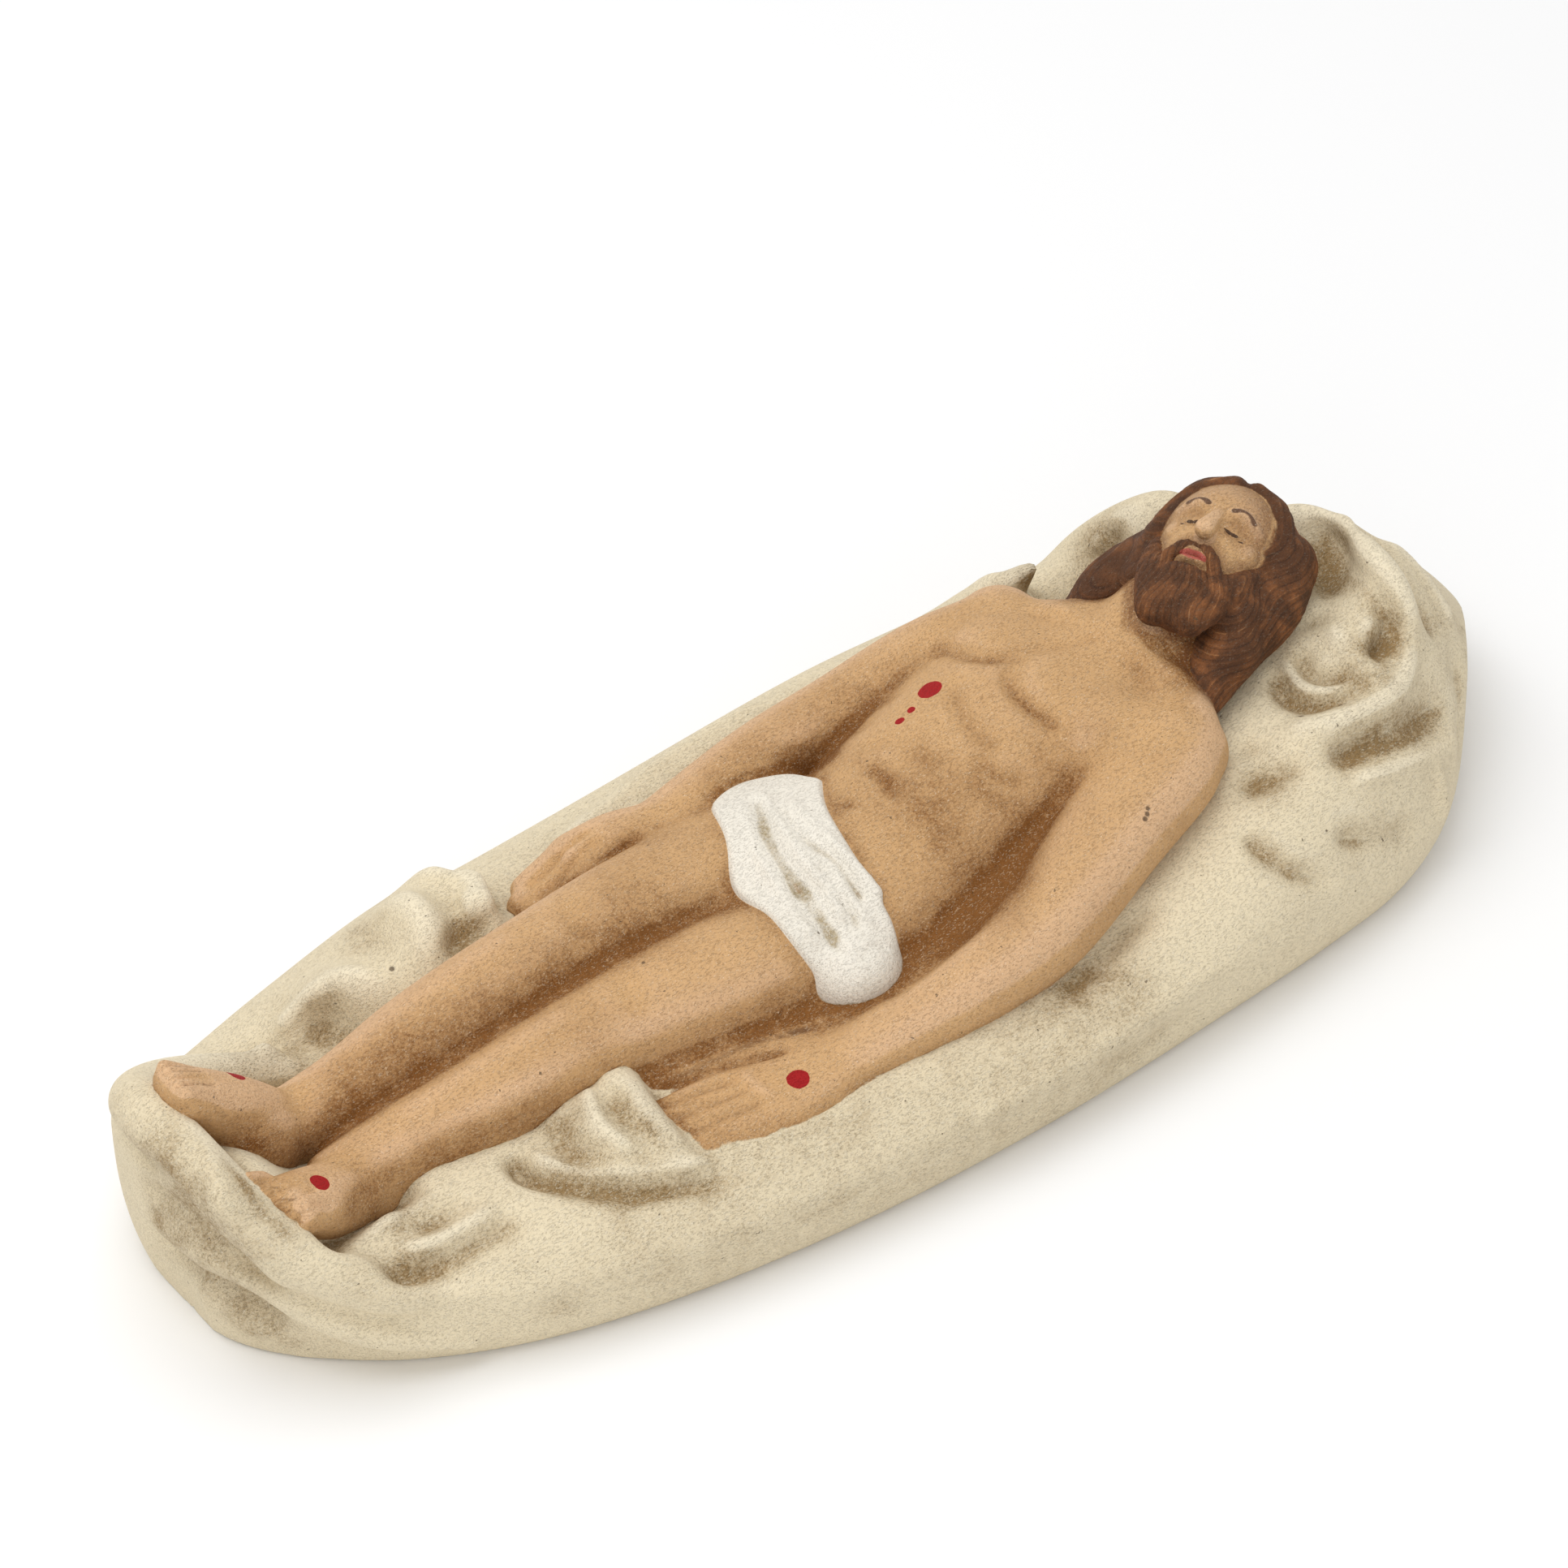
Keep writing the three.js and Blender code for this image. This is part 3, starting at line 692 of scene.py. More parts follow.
# Modelling drawn into the smoothed clay.
MODELLING = [
    # lower edges of the chest, breastbone, pit of the neck and collar bones
    (-0.8, 1.3, [(31.6, 5.6, 32), (27.4, 3, 32.4), (25.8, 0, 32), (26.2, -3, 31), (27.6, -6.4, 30)]),
    (-0.7, 1.3, [(30, 5.6, 32), (27.4, 7.6, 32), (26, 11, 30.6), (26.4, 15.4, 28)]),
    (-0.5, 1.2, [(41, 2, 33), (36, 4, 33), (31.6, 5.6, 32.4)]),
    (-0.7, 1.4, [(43.4, 0.6, 33), (45, 0.8, 33)]),
    (0.5, 1.1, [(43, -1.6, 32.6), (44, -6, 31.4), (44.8, -10, 29.6)]),
    (-0.6, 1.2, [(46.4, -3, 31.6), (47.4, -7, 30), (47.6, -10, 28)]),
    (0.4, 1.1, [(42.4, 4, 32.6), (41.6, 9, 31.6), (39.6, 13, 30.6)]),
    # ribs and the arch under them
    (-0.5, 1.2, [(22, 7.6, 31), (19.6, 4, 31), (18.4, -0.3, 30.8), (19.4, -4.4, 30)]),
    (-0.4, 1.1, [(16.5, -3.4, 29), (17.2, -6.5, 27.8), (19.6, -9, 26.6)]),
    (-0.35, 1.1, [(14.2, -4.4, 28.3), (14.6, -7.3, 26.6), (16.8, -9.5, 25.2)]),
    (-0.35, 1.2, [(6.5, 4.9, 27.6), (6.4, 1.6, 27.4), (5.6, -1.7, 27)]),
    (-0.35, 1.2, [(11.6, 3.4, 29.3), (11.4, 0.6, 29), (11.6, -1.4, 29)]),
    (-0.4, 1.2, [(8.4, 8.6, 27.4), (11, 6, 28), (13, 3.4, 28.4)]),
    (-0.4, 1.2, [(17.6, 13.6, 28), (15.4, 15, 26.4)]),
    (-0.4, 1.2, [(12.6, 13, 26.6), (10.4, 14, 25)]),
    # belly and navel
    (-0.4, 2, [(12, 2, 28.4), (5, 1.8, 27.6)]),
    (-0.7, 0.9, [(0.6, 2.8, 27), (1.2, 2.6, 27)]),
    # inside of the elbow, and the muscles of the near forearm
    (-0.25, 2, [(13, -20, 23), (9, -23, 22.4)]),
    (-0.4, 1.4, [(4, -20, 21), (-4, -20.6, 20), (-11, -20.8, 18.6)]),
    # knees and shins
    (-0.5, 1.8, [(-36, 9.4, 26), (-38.4, 5.6, 24)]),
    (-0.5, 1.8, [(-37, -1.6, 23), (-38.6, -6.6, 21)]),
    (0.4, 1.6, [(-46, 8.8, 26), (-58, 8, 25), (-70, 7.4, 23)]),
    (0.4, 1.6, [(-46, -3, 23), (-58, -3, 22.4), (-70, -3, 21)]),
    # ankles
    (0.5, 1.3, [(-78.6, 2.6, 20), (-79.4, 2.6, 20)]),
    (0.5, 1.3, [(-78, -8.4, 17), (-79, -8.6, 17)]),
    # near hand: between thumb and fingers, between the fingers, and the knuckles
    (-0.9, 0.9, [(-25, -18.6, 17), (-31, -16.4, 17), (-38, -14.8, 16.6), (-43, -14, 16)]),
    (-0.45, 0.6, [(-33, -18.7, 16.8), (-38, -17.6, 16.4), (-44, -16.6, 16)]),
    (-0.45, 0.6, [(-33, -21.2, 16.4), (-38, -20, 16), (-44, -19, 15.6)]),
    (-0.45, 0.6, [(-32.6, -23.6, 15.6), (-37.6, -22.6, 15.2), (-43, -21.6, 15)]),
    (0.4, 0.9, [(-31.6, -18.4, 17), (-32, -21.2, 16.8), (-31.4, -24, 16)]),
    # far hand
    (-0.8, 0.8, [(-20.6, 16.4, 22.6), (-27, 15.4, 21), (-33, 15.4, 19.4)]),
    (-0.7, 0.7, [(-25, 19, 23), (-30, 18.8, 22), (-35, 18.6, 20)]),
    (-0.7, 0.7, [(-25, 21.4, 22.8), (-30, 21.4, 21.6), (-34.6, 21.2, 19.8)]),
    # toes
    *[
        (-0.35, 0.4, [(-95.6, y, z), (-92.4, y, z + 0.4), (-90, y - 0.2, z - 2.6)])
        for y, z in ((5.6, 34.4), (7, 34.4), (8.4, 34.4), (9.6, 34.2))
    ],
    *[
        (-0.35, 0.4, [(x, y, z), (x + 2.6, y + 0.7, z + 0.2), (x + 5, y + 1.2, z - 1.6)])
        for x, y, z in ((-93.6, -6.6, 26), (-93, -8.2, 25), (-92, -9.8, 24), (-91.2, -11, 23))
    ],
]
carve(body, MODELLING)
bare_body = body.data.copy()
thinned(body, 0.46)

# The loincloth is a thin wet wrap over the hips. Its near end hangs down in a soft rounded pad
# between the thigh and the forearm, and a few folds run slantwise across it.
WRAP = 0.75  # how far it stands off the skin
SUNK = 2  # how far the rest of the copied skin is sunk out of sight
WRAP_LOW, WRAP_HIGH = 11, 14  # it fades out between these heights, down in the cloth
WRAP_ENDS = ((8, 1), (-24, -1))  # the copied skin is cut off here: (x, way out)
WRAP_OUTLINE = [
    (2.6, 9.4),
    (-0.4, 5),
    (-2.1, 0.8),
    (-3.4, -4.6),
    (-4.2, -9.7),
    (-4.6, -14.2),
    (-6.3, -17.5),
    (-10, -18.6),
    (-13.8, -16.4),
    (-16.2, -13.4),
    (-17.3, -9.4),
    (-17.2, -4.6),
    (-17.2, 2),
    (-14, 7.8),
    (-10.6, 15.1),
    (-4, 16.4),
    (1.4, 13.6),
]


def inside(points, outline):
    """Distance in from a closed outline in plan, negative outside."""
    ring = curve([*outline, outline[0]], np.linspace(0, 1, 8 * len(outline)))
    a, b = ring[:-1], ring[1:]
    near = np.full(len(points), np.inf)
    turns = np.zeros(len(points), bool)
    for (ax, ay), (bx, by) in zip(a, b):
        along = np.array([bx - ax, by - ay])
        t = np.clip(((points - (ax, ay)) @ along) / max(along @ along, 1e-9), 0, 1)
        near = np.minimum(near, np.hypot(*(points - (ax, ay) - t[:, None] * along).T))
        crosses = (ay > points[:, 1]) != (by > points[:, 1])
        reach = (points[:, 1] - ay) / ((by - ay) or 1e-9) * (bx - ax) + ax
        turns ^= crosses & (points[:, 0] < reach)
    return np.where(turns, near, -near)


build = bmesh.new()
build.from_mesh(bare_body)
for middle, outward in WRAP_ENDS:
    cut = bmesh.ops.bisect_plane(
        build,
        geom=[*build.verts, *build.edges, *build.faces],
        plane_co=(middle, 0, 0),
        plane_no=(outward, 0, 0),
        clear_outer=True,
    )
    rim = [e for e in cut["geom_cut"] if isinstance(e, bmesh.types.BMEdge)]
    bmesh.ops.edgeloop_fill(build, edges=rim)
skin = solid_of(build, "skin")
relax(skin.data, 16)
points = places(skin.data)
cover = smoothstep(-0.5, 0.5, inside(points[:, :2], WRAP_OUTLINE))
cover *= smoothstep(WRAP_LOW, WRAP_HIGH, points[:, 2])
lift = WRAP * cover - SUNK * (1 - cover)
put(skin.data, points + normals_of(skin.data) * lift[:, None])
build = bmesh.new()
build.from_mesh(skin.data)
lump(build, (-10.4, -12.6, 16.4), (6.4, 6.6, 5.8), turned=12)
bpy.data.objects.remove(skin)
loincloth = merged(solid_of(build, "loincloth"), 0.35)
relax(loincloth.data, 34, ridges=0.05)

WRAP_FOLDS = [
    (
        0.55,
        0.8,
        [(-5.1, 11.9, 24.4), (-7.4, 5, 25.6), (-9.3, -2, 26), (-9.4, -6.8, 24.5), (-10.6, -11.4, 23.5)],
    ),
    (0.5, 0.7, [(-3.7, 8.3, 25.7), (-4.8, -1, 26.6), (-4.8, -7, 25.2), (-5.2, -10.7, 23)]),
    (
        0.4,
        0.8,
        [(-8.2, 11.1, 24.9), (-11.9, 4.7, 25.1), (-13.4, -1, 24.5), (-14.6, -7.3, 24), (-14.4, -11.6, 22)],
    ),
    (0.35, 0.6, [(-7, -5, 25.4), (-7.6, -9, 23.6), (-7.6, -13, 22)]),
    (-0.5, 0.9, [(-6, 11.5, 24.6), (-9.7, 4.8, 25.1), (-11.4, -1.6, 24.4), (-11.8, -5.3, 23.5)]),
    (-0.3, 0.7, [(-11.8, -5.3, 23.5), (-12.5, -10.8, 22.2), (-12.8, -14.1, 21.6)]),
    (
        -0.45,
        0.6,
        [(-5.7, 8, 25.7), (-7.2, 0.7, 26.8), (-6, -4, 25.7), (-6.4, -7.6, 24.6), (-6.5, -10, 23.3)],
    ),
    (-0.3, 0.5, [(-10.3, -5.6, 24.8), (-8.7, -8.9, 23.7), (-8.7, -12, 22.8)]),
    (-0.3, 0.6, [(-11.7, -15.8, 20.9), (-8.9, -15.3, 21.5), (-7.5, -15.8, 20.4)]),
]
carve(loincloth, WRAP_FOLDS)
thinned(loincloth, 0.35)

# The head is laid up in a frame of its own, across to the figure's left, up to the crown and out
# of the face, then laid on the pillow with the crown raised and leaning aside.
HEAD = Vector((60.8, 2.9, 33.1))
HEAD_SCALE = 1.04
HEAD_TURN = math.radians(25)
HEAD_LIFT = math.radians(7)
crown = Vector(
    (
        math.cos(HEAD_LIFT) * math.cos(HEAD_TURN),
        math.cos(HEAD_LIFT) * math.sin(HEAD_TURN),
        math.sin(HEAD_LIFT),
    )
)
left = Vector((math.sin(HEAD_TURN), -math.cos(HEAD_TURN), 0))
front = left.cross(crown)
head_frame = (
    Matrix.Translation(HEAD)
    @ Matrix((left, crown, front)).transposed().to_4x4()
    @ Matrix.Scale(HEAD_SCALE, 4)
)

# The face keeps to the usual thirds: brow, base of the nose and chin at equal steps below the
# hairline, eyes one eye apart and shut, lips together.
build = bmesh.new()
lump(build, (0, 2.2, -1), (7.9, 9, 9.1))
lump(build, (0, -3.2, 1.4), (6.2, 7.2, 6.4))
lump(build, (0, 3.4, 2.6), (6.2, 5, 5.4))
lump(build, (0, -5.8, 4.6), (3.4, 3, 3.4))
lump(build, (0, -8.8, 5.2), (2.6, 2, 2.4))
limb(build, [(0, 2, 7, 1), (0, -0.6, 8.2, 1.05), (0, -2.8, 9.1, 1.3)], 24, 24)
for side in (1, -1):
    lump(build, (side * 3.6, -1.2, 3.6), (2.7, 3, 2.7))
    limb(build, [(side * 1, 2, 7.2, 0.9), (side * 3, 2.4, 6.7, 1), (side * 5, 1.6, 5, 1)], 24, 24)
bmesh.ops.transform(build, matrix=head_frame, verts=build.verts)
face = merged(solid_of(build, "face"), 0.2)
relax(face.data, 30, ridges=0.04, hollows=0.5)


def in_head(points):
    """Where points lie in the head's own frame: across, up and out of the face."""
    turned = np.array(head_frame.inverted())
    return points @ turned[:3, :3].T + turned[:3, 3]


def both_sides(strokes):
    mirrored = [(rise, width, [(-x, y, z) for x, y, z in line]) for rise, width, line in strokes]
    return strokes + mirrored


def on_head(strokes):
    """Strokes given in the head's frame, laid in place."""
    return [(rise, width, [head_frame @ Vector(place) for place in line]) for rise, width, line in strokes]


FACE_STROKES = both_sides(
    [
        # sockets, shut lids, the line between them and the crease above
        (-0.5, 1.1, [(1.7, 0.5, 7.4), (2.9, 0.5, 7.2), (4.4, 0.4, 6.2)]),
        (0.42, 0.75, [(2.3, -0.2, 7.2), (3.3, -0.25, 6.9)]),
        (-0.24, 0.2, [(1.5, -0.5, 7.2), (2.3, -0.95, 7.4), (3.3, -0.95, 7.1), (4.3, -0.45, 6.3)]),
        (-0.18, 0.26, [(1.7, 0.7, 7.3), (2.8, 0.95, 7.3), (4.2, 0.6, 6.4)]),
        (0.14, 0.3, [(1.9, -1.5, 7.2), (3, -1.6, 7)]),
        # brow, temple, wing of the nose, nostril and the soft fold beside it
        (0.25, 0.5, [(1.4, 1.9, 8), (3, 2.5, 7.6), (4.9, 1.9, 6)]),
        (0.45, 0.55, [(1.2, -3.5, 8.4), (1.2, -3.6, 8.4)]),
        (-0.35, 0.25, [(0.5, -4.3, 9), (0.9, -4.4, 8.8)]),
        (-0.22, 0.4, [(1.9, -3.4, 7.8), (2.4, -4.8, 7.4), (2.8, -5.8, 6.8)]),
    ]
) + [
    # lips and the line between them, the groove above and the dip below
    (0.42, 0.4, [(-1.9, -6.1, 7.3), (-0.6, -5.75, 7.9), (0, -5.85, 8), (0.6, -5.75, 7.9), (1.9, -6.1, 7.3)]),
    (0.5, 0.45, [(-1.5, -6.75, 7.3), (0, -7, 7.9), (1.5, -6.75, 7.3)]),
    (-0.4, 0.2, [(-2.2, -6.4, 7.2), (-0.9, -6.3, 7.8), (0, -6.4, 8), (0.9, -6.3, 7.8), (2.2, -6.4, 7.2)]),
    (-0.2, 0.3, [(0, -4.7, 8.2), (0, -5.3, 8.1)]),
    (-0.3, 0.5, [(-1, -7.8, 7.6), (1, -7.8, 7.6)]),
]
carve(face, on_head(FACE_STROKES))
thinned(face, 0.8)

# Hair and beard are one soft dark mass over the head, parted in the middle, with long locks down
# to the near shoulder and behind the far one. A comb-like tool has waved its surface.
build = bmesh.new()
lump(build, (0.5, 2.8, -2.4), (9.2, 9.7, 8.9))
lump(build, (0, -10, 3.8), (4.6, 4.4, 4))
lump(build, (0, -8.6, 2.8), (5.6, 3.8, 4))
lump(build, (0, -8.8, 6.1), (3.4, 1.6, 2.3))
lump(build, (6, -6.8, 0.4), (3.2, 4.4, 3.8))
lump(build, (6.4, -10, -2.4), (4, 5.4, 4.4))
for side in (1, -1):
    # from the parting round the temple and down past the ear
    limb(
        build,
        [
            (side * 1.4, 9.4, 3.6, 1.6, 1.6),
            (side * 4.8, 7.8, 3, 1.8, 1.7),
            (side * 7, 4.2, 1.6, 1.8, 2),
            (side * 7.9, -0.6, 0.4, 2, 2.4),
            (side * 7.4, -6, -0.6, 2.6, 3),
        ],
        around=32,
        rows=60,
    )
    # moustache
    limb(
        build,
        [
            (side * 0.3, -5, 8, 0.5, 0.45),
            (side * 1.5, -5.2, 7.9, 0.8, 0.6),
            (side * 2.8, -6.4, 7, 0.95, 0.75),
            (side * 3.6, -8.4, 5.6, 1.1, 1),
        ],
        around=24,
        rows=40,
    )
    # beard, from the cheek down to one of its two soft points
    limb(
        build,
        [
            (side * 6.2, -2.4, 2, 1.4, 1.8),
            (side * 5.4, -5.4, 3.2, 1.9, 2.2),
            (side * 4, -8.8, 4.2, 2.4, 2.6),
            (side * 2.2, -12.4, 4, 2.6, 2.6),
        ],
        around=32,
        rows=48,
    )
bmesh.ops.transform(build, matrix=head_frame, verts=build.verts)
limb(
    build,
    [
        (68, -2, 32, 4.6, 4.8),
        (63, -3.8, 30.4, 5.6, 5.6),
        (57, -5, 29, 5.4, 5.6),
        (51.8, -7.4, 27.6, 4.4, 4.4),
        (47.4, -10.4, 26.4, 2.6, 2.8),
        (44.8, -12.2, 25.4, 1, 1.2),
    ],
    rows=80,
    cap=0.1,
)
limb(build, [(59, 9.6, 30.4, 5, 4.6), (51, 11, 29, 4.2, 4), (45, 11, 27.6, 2.2, 2.4)])
hair = merged(solid_of(build, "hair"), 0.22)
relax(hair.data, 24)

STRAND = 1.1  # from one strand to the next
STRAND_RISE = 0.09


def combed(points):
    """The comb's passes over the hair and beard, from -1 in the grooves to 1 on the strands."""
    aside, up, out = in_head(points).T
    waves = out + 0.8 * np.sin(0.5 * up) + 0.6 * np.sin(0.4 * aside)
    beard_waves = 1.1 * aside + 0.6 * np.sin(0.8 * up) + 0.25 * up * np.sign(aside)
    beard = smoothstep(2.2, 4.4, out) * smoothstep(-2, -5, up) * smoothstep(7.4, 5.4, np.abs(aside))
    comb = (waves + (beard_waves - waves) * beard) * 2 * np.pi / STRAND
    return 0.6 * np.sin(comb) + 0.4 * np.sin(2.3 * comb + 0.6 * up)


strands = STRAND_RISE * combed(places(hair.data))
put(hair.data, places(hair.data) + normals_of(hair.data) * strands[:, None])
thinned(hair, 0.28)

# The casting comes out of one mould, so everything above is joined into one skin. Each of its
# points then keeps how far it lies inside the cloth, the flesh, the hair and so on, and how deep,
# which is what the brushwork below goes by.
trees = {part.name: tree_of(part.data) for part in (body, loincloth, face, hair, shroud)}
for part in (body, loincloth, face, hair):
    join = shroud.modifiers.new(part.name, "BOOLEAN")
    join.operation = "UNION"
    join.solver = "MANIFOLD"
    join.object = part
casting = finished(shroud)
for part in (body, loincloth, face, hair):
    bpy.data.objects.remove(part)

skin_points = places(casting.data)
distance = {
    name: np.array([tree.find_nearest(Vector(place))[3] for place in skin_points])
    for name, tree in trees.items()
}


def edge_of(*names):
    """How far a point lies inside the parts named, from the nearest other part; less is outside."""
    own = np.minimum.reduce([distance[name] for name in names])
    other = np.minimum.reduce([distance[name] for name in trees if name not in names])
    return other - own


def pin(name, values):
    """Keeps a value for every point of the casting, for the paint to read."""
    layer = casting.data.attributes.new(name, "FLOAT", "POINT")
    layer.data.foreach_set("value", values.astype(np.float32))


pin("flesh_edge", edge_of("body", "face"))
pin("cloth_edge", edge_of("shroud"))
pin("strand", combed(skin_points))
pin("wrap_edge", edge_of("loincloth"))
pin("hair_edge", edge_of("hair"))
aside, up, out = in_head(skin_points).T
pin("bare_face", smoothstep(-1, 1, edge_of("face")) * smoothstep(2, 4, out) * smoothstep(-9, -7.5, up))

# How deep each point lies in its own part, seen from above, over narrow and wide reaches.
CELL = 0.5
FROM_ABOVE = 60
REACHES = (0.4, 1.4, 4.5)
columns, rows_up = int(LENGTH / CELL) + 8, int(WIDTH / CELL) + 8
across_grid = (np.arange(columns) - columns / 2) * CELL
up_grid = (np.arange(rows_up) - rows_up / 2) * CELL
bed = shroud_top(*(grid.ravel() for grid in np.meshgrid(across_grid, up_grid, indexing="ij")), folds=())
bed = bed.reshape(columns, rows_up)
facing = smoothstep(0.2, 0.7, normals_of(casting.data)[:, 2])


def depths(name, level):
    """How far a part's skin lies under its surroundings: narrow creases, and broad hollows."""
    down = Vector((0, 0, -1))
    hits = [trees[name].ray_cast(Vector((x, y, FROM_ABOVE)), down)[0] for x in across_grid for y in up_grid]
    filled = np.array([float(hit is not None) for hit in hits]).reshape(columns, rows_up)
    heights = np.array([0 if hit is None else hit.z for hit in hits]).reshape(columns, rows_up)
    heights = (heights - level) * filled

    def within(reach):
        fx = np.fft.fftfreq(columns)[:, None]
        fy = np.fft.rfftfreq(rows_up)[None]
        soft = np.exp(-2 * (np.pi * reach / CELL) ** 2 * (fx**2 + fy**2))
        total = np.fft.irfft2(np.fft.rfft2(heights) * soft, heights.shape)
        weight = np.fft.irfft2(np.fft.rfft2(filled) * soft, heights.shape)
        return total / np.maximum(weight, 0.02)

    def read(grid):
        fx, fy = skin_points[:, 0] / CELL + columns / 2, skin_points[:, 1] / CELL + rows_up / 2
        ix, iy = fx.astype(int), fy.astype(int)
        fx, fy = fx - ix, fy - iy
        low = grid[ix, iy] * (1 - fy) + grid[ix, iy + 1] * fy
        high = grid[ix + 1, iy] * (1 - fy) + grid[ix + 1, iy + 1] * fy
        return (low * (1 - fx) + high * fx) * facing

    narrow, middle, broad = (read(within(reach)) for reach in REACHES)
    return middle - narrow, broad - middle


trees["whole"] = tree_of(casting.data)
inland = smoothstep(0.5, 5, in_from_edge(skin_points[:, 0], skin_points[:, 1]))
for name, level, kept in (("shroud", bed, inland), ("whole", 0, 1)):
    crease, hollow = depths(name, level)
    pin(name + "_crease", crease * kept)
    pin(name + "_hollow", hollow * kept)
pin("loincloth_crease", depths("loincloth", 0)[0])

# Airbrushed browns over the flesh: (strength, width, line over the surface).
SPRAYED = [
    # between the near arm and the flank, and down past the loincloth to the hand
    (0.8, 3, [(20, -13, 23), (14, -15, 19), (8, -16.8, 18), (2, -18, 18), (-4, -18, 17)]),
    (0.55, 8, [(24, -10, 28), (16, -12, 23), (6, -14.6, 19), (-2, -15, 18)]),
    (0.45, 4, [(15, -17, 22), (8, -20, 21), (0, -20.6, 20)]),
    (0.35, 3, [(11.1, -29.1, 18.7), (14.9, -28.1, 20.9), (19.1, -26.7, 22.7)]),
    (0.6, 2.6, [(-4.3, -15.7, 17), (-10.9, -17, 18), (-15.1, -18, 17), (-22, -15.6, 17)]),
    (0.6, 2.8, [(-18, -13, 18), (-26, -12.6, 17.4), (-39, -10.6, 17)]),
    # belly, ribs, and under the chest
    (0.4, 4.4, [(9.3, -3.5, 26.9), (8, -6.9, 24.3), (7.7, -9.9, 22)]),
    (0.3, 4, [(5.9, -1.6, 27.5), (10.5, -3.2, 27.9), (15.9, -5.1, 28.1)]),
    (0.35, 4.4, [(25.5, -3.1, 30.7), (27.3, -6.3, 30), (28.2, -9, 28.9)]),
    (0.45, 1.4, [(20.7, 6.3, 31), (19.1, 2.8, 31), (18.4, -0.3, 30.8), (19.2, -3.9, 30)]),
    (0.4, 1.2, [(16.5, -4.1, 29), (17.2, -6.5, 27.8), (19.6, -8.9, 26.6)]),
    (0.4, 1.2, [(14.2, -4.8, 28.3), (14.6, -7.3, 26.6), (16.8, -9.3, 25.2)]),
    (0.45, 1.4, [(6.5, 4.9, 27.6), (6.4, 1.6, 27.4), (5.6, -1.7, 27)]),
    (0.4, 1.4, [(11.6, 2.7, 29.3), (11.6, -1.1, 29)]),
    (0.4, 1.8, [(31.6, 5.6, 32), (27.4, 6.2, 32.4), (25.9, 0.2, 32.2), (26.1, -2.4, 31.3)]),
    (0.45, 1.5, [(26.4, 15, 28.6), (26.1, 10.7, 30.7), (27.4, 6.2, 32.5)]),
    (0.35, 9, [(18, 0, 30), (6, 0, 27), (0, 2, 26)]),
    (1.5, 1.5, [(0.5, 2.7, 26.3), (1.3, 2.7, 26.3)]),
    # far arm and hand
    (0.8, 2.8, [(26, 17, 24), (14, 16, 21), (6.1, 12, 23), (4.8, 15.9, 20.6), (-0.7, 16, 22.3)]),
    (0.5, 3, [(1.3, 20.1, 24.8), (-4.5, 19, 24.3), (-9.2, 18.5, 23.9)]),
    (0.7, 2.6, [(-20, 15, 21), (-30, 15, 19)]),
    (0.3, 6, [(20, 20, 28), (0, 20, 25)]),
    # legs and feet
    (0.7, 2.4, [(-17.2, -0.6, 22.5), (-26.9, 1.6, 22), (-37, 2, 22), (-44.9, 2.2, 22.8)]),
    (0.5, 2.4, [(-44.9, 2.2, 22.8), (-59.4, 0.7, 21.2), (-73, 1.9, 19.7), (-81.4, 1.8, 17.6)]),
    (0.7, 4, [(-77, 4, 20), (-67.3, 4.2, 23), (-55.8, 3.8, 24), (-40, 4.6, 23.6), (-24, 4, 23)]),
    (0.35, 6, [(-18, 10, 26), (-34, 9, 26)]),
    (0.45, 4, [(-51.2, -6.4, 22.4), (-45.9, -7.4, 22), (-40.8, -8.7, 21.3)]),
    (0.85, 3, [(-52, -9, 18), (-62, -8.6, 18), (-72.6, -7.5, 18.1)]),
    (0.9, 3.4, [(-80.6, 1.8, 17.4), (-86.3, 1.4, 22.8), (-90.6, 3.1, 26.3)]),
    (1, 3, [(-74, -8, 18), (-80, -9, 18.5), (-85, -11.4, 20)]),
    # neck
    (1, 3.8, [(46.8, -4.5, 31.4), (48.8, -5.4, 31.9), (50.4, -7.4, 31.6)]),
    (0.9, 3.8, [(42.3, -9.8, 30.9), (47.6, -8.5, 29.7), (51, -5, 32)]),
    (0.6, 3.4, [(48, 5, 32), (50, 8, 31)]),
]
# Thin dark lines: the thumb, the fingers, and the toes.
LINED = [
    (
        0.6,
        0.6,
        [
            (-20.5, -17.6, 16.5),
            (-23.2, -16.7, 16.5),
            (-27.6, -15.2, 16.4),
            (-33, -14.6, 16),
            (-39, -13.8, 16),
        ],
    ),
    (0.4, 0.5, [(-33, -18.7, 16.8), (-38, -17.6, 16.4), (-44, -16.6, 16)]),
    (0.4, 0.5, [(-33, -21.2, 16.4), (-38, -20, 16), (-44, -19, 15.6)]),
    (0.4, 0.5, [(-32.6, -23.6, 15.6), (-37.6, -22.6, 15.2), (-43, -21.6, 15)]),
    (0.5, 0.3, [(-93.6, -6.4, 26.8), (-91, -6.9, 25.4), (-89, -8, 25)]),
    (0.5, 0.3, [(-93.6, -8.4, 26), (-91.2, -8.6, 25), (-89.4, -9.5, 24.6)]),
    (0.5, 0.3, [(-92.7, -10, 24.7), (-91, -10, 24.2), (-89.4, -11, 24)]),
    (0.5, 0.3, [(-91.4, -11.4, 23.5), (-90, -11.4, 23)]),
    (0.4, 0.3, [(-95.4, 6, 34), (-92.8, 6.2, 33), (-90.6, 6.4, 31)]),
    (0.4, 0.3, [(-95, 7.6, 34), (-92.8, 7.8, 33), (-90.6, 8, 31)]),
    (0.4, 0.3, [(-94.6, 9, 34), (-92.4, 9.4, 33), (-90.4, 9.4, 31)]),
]
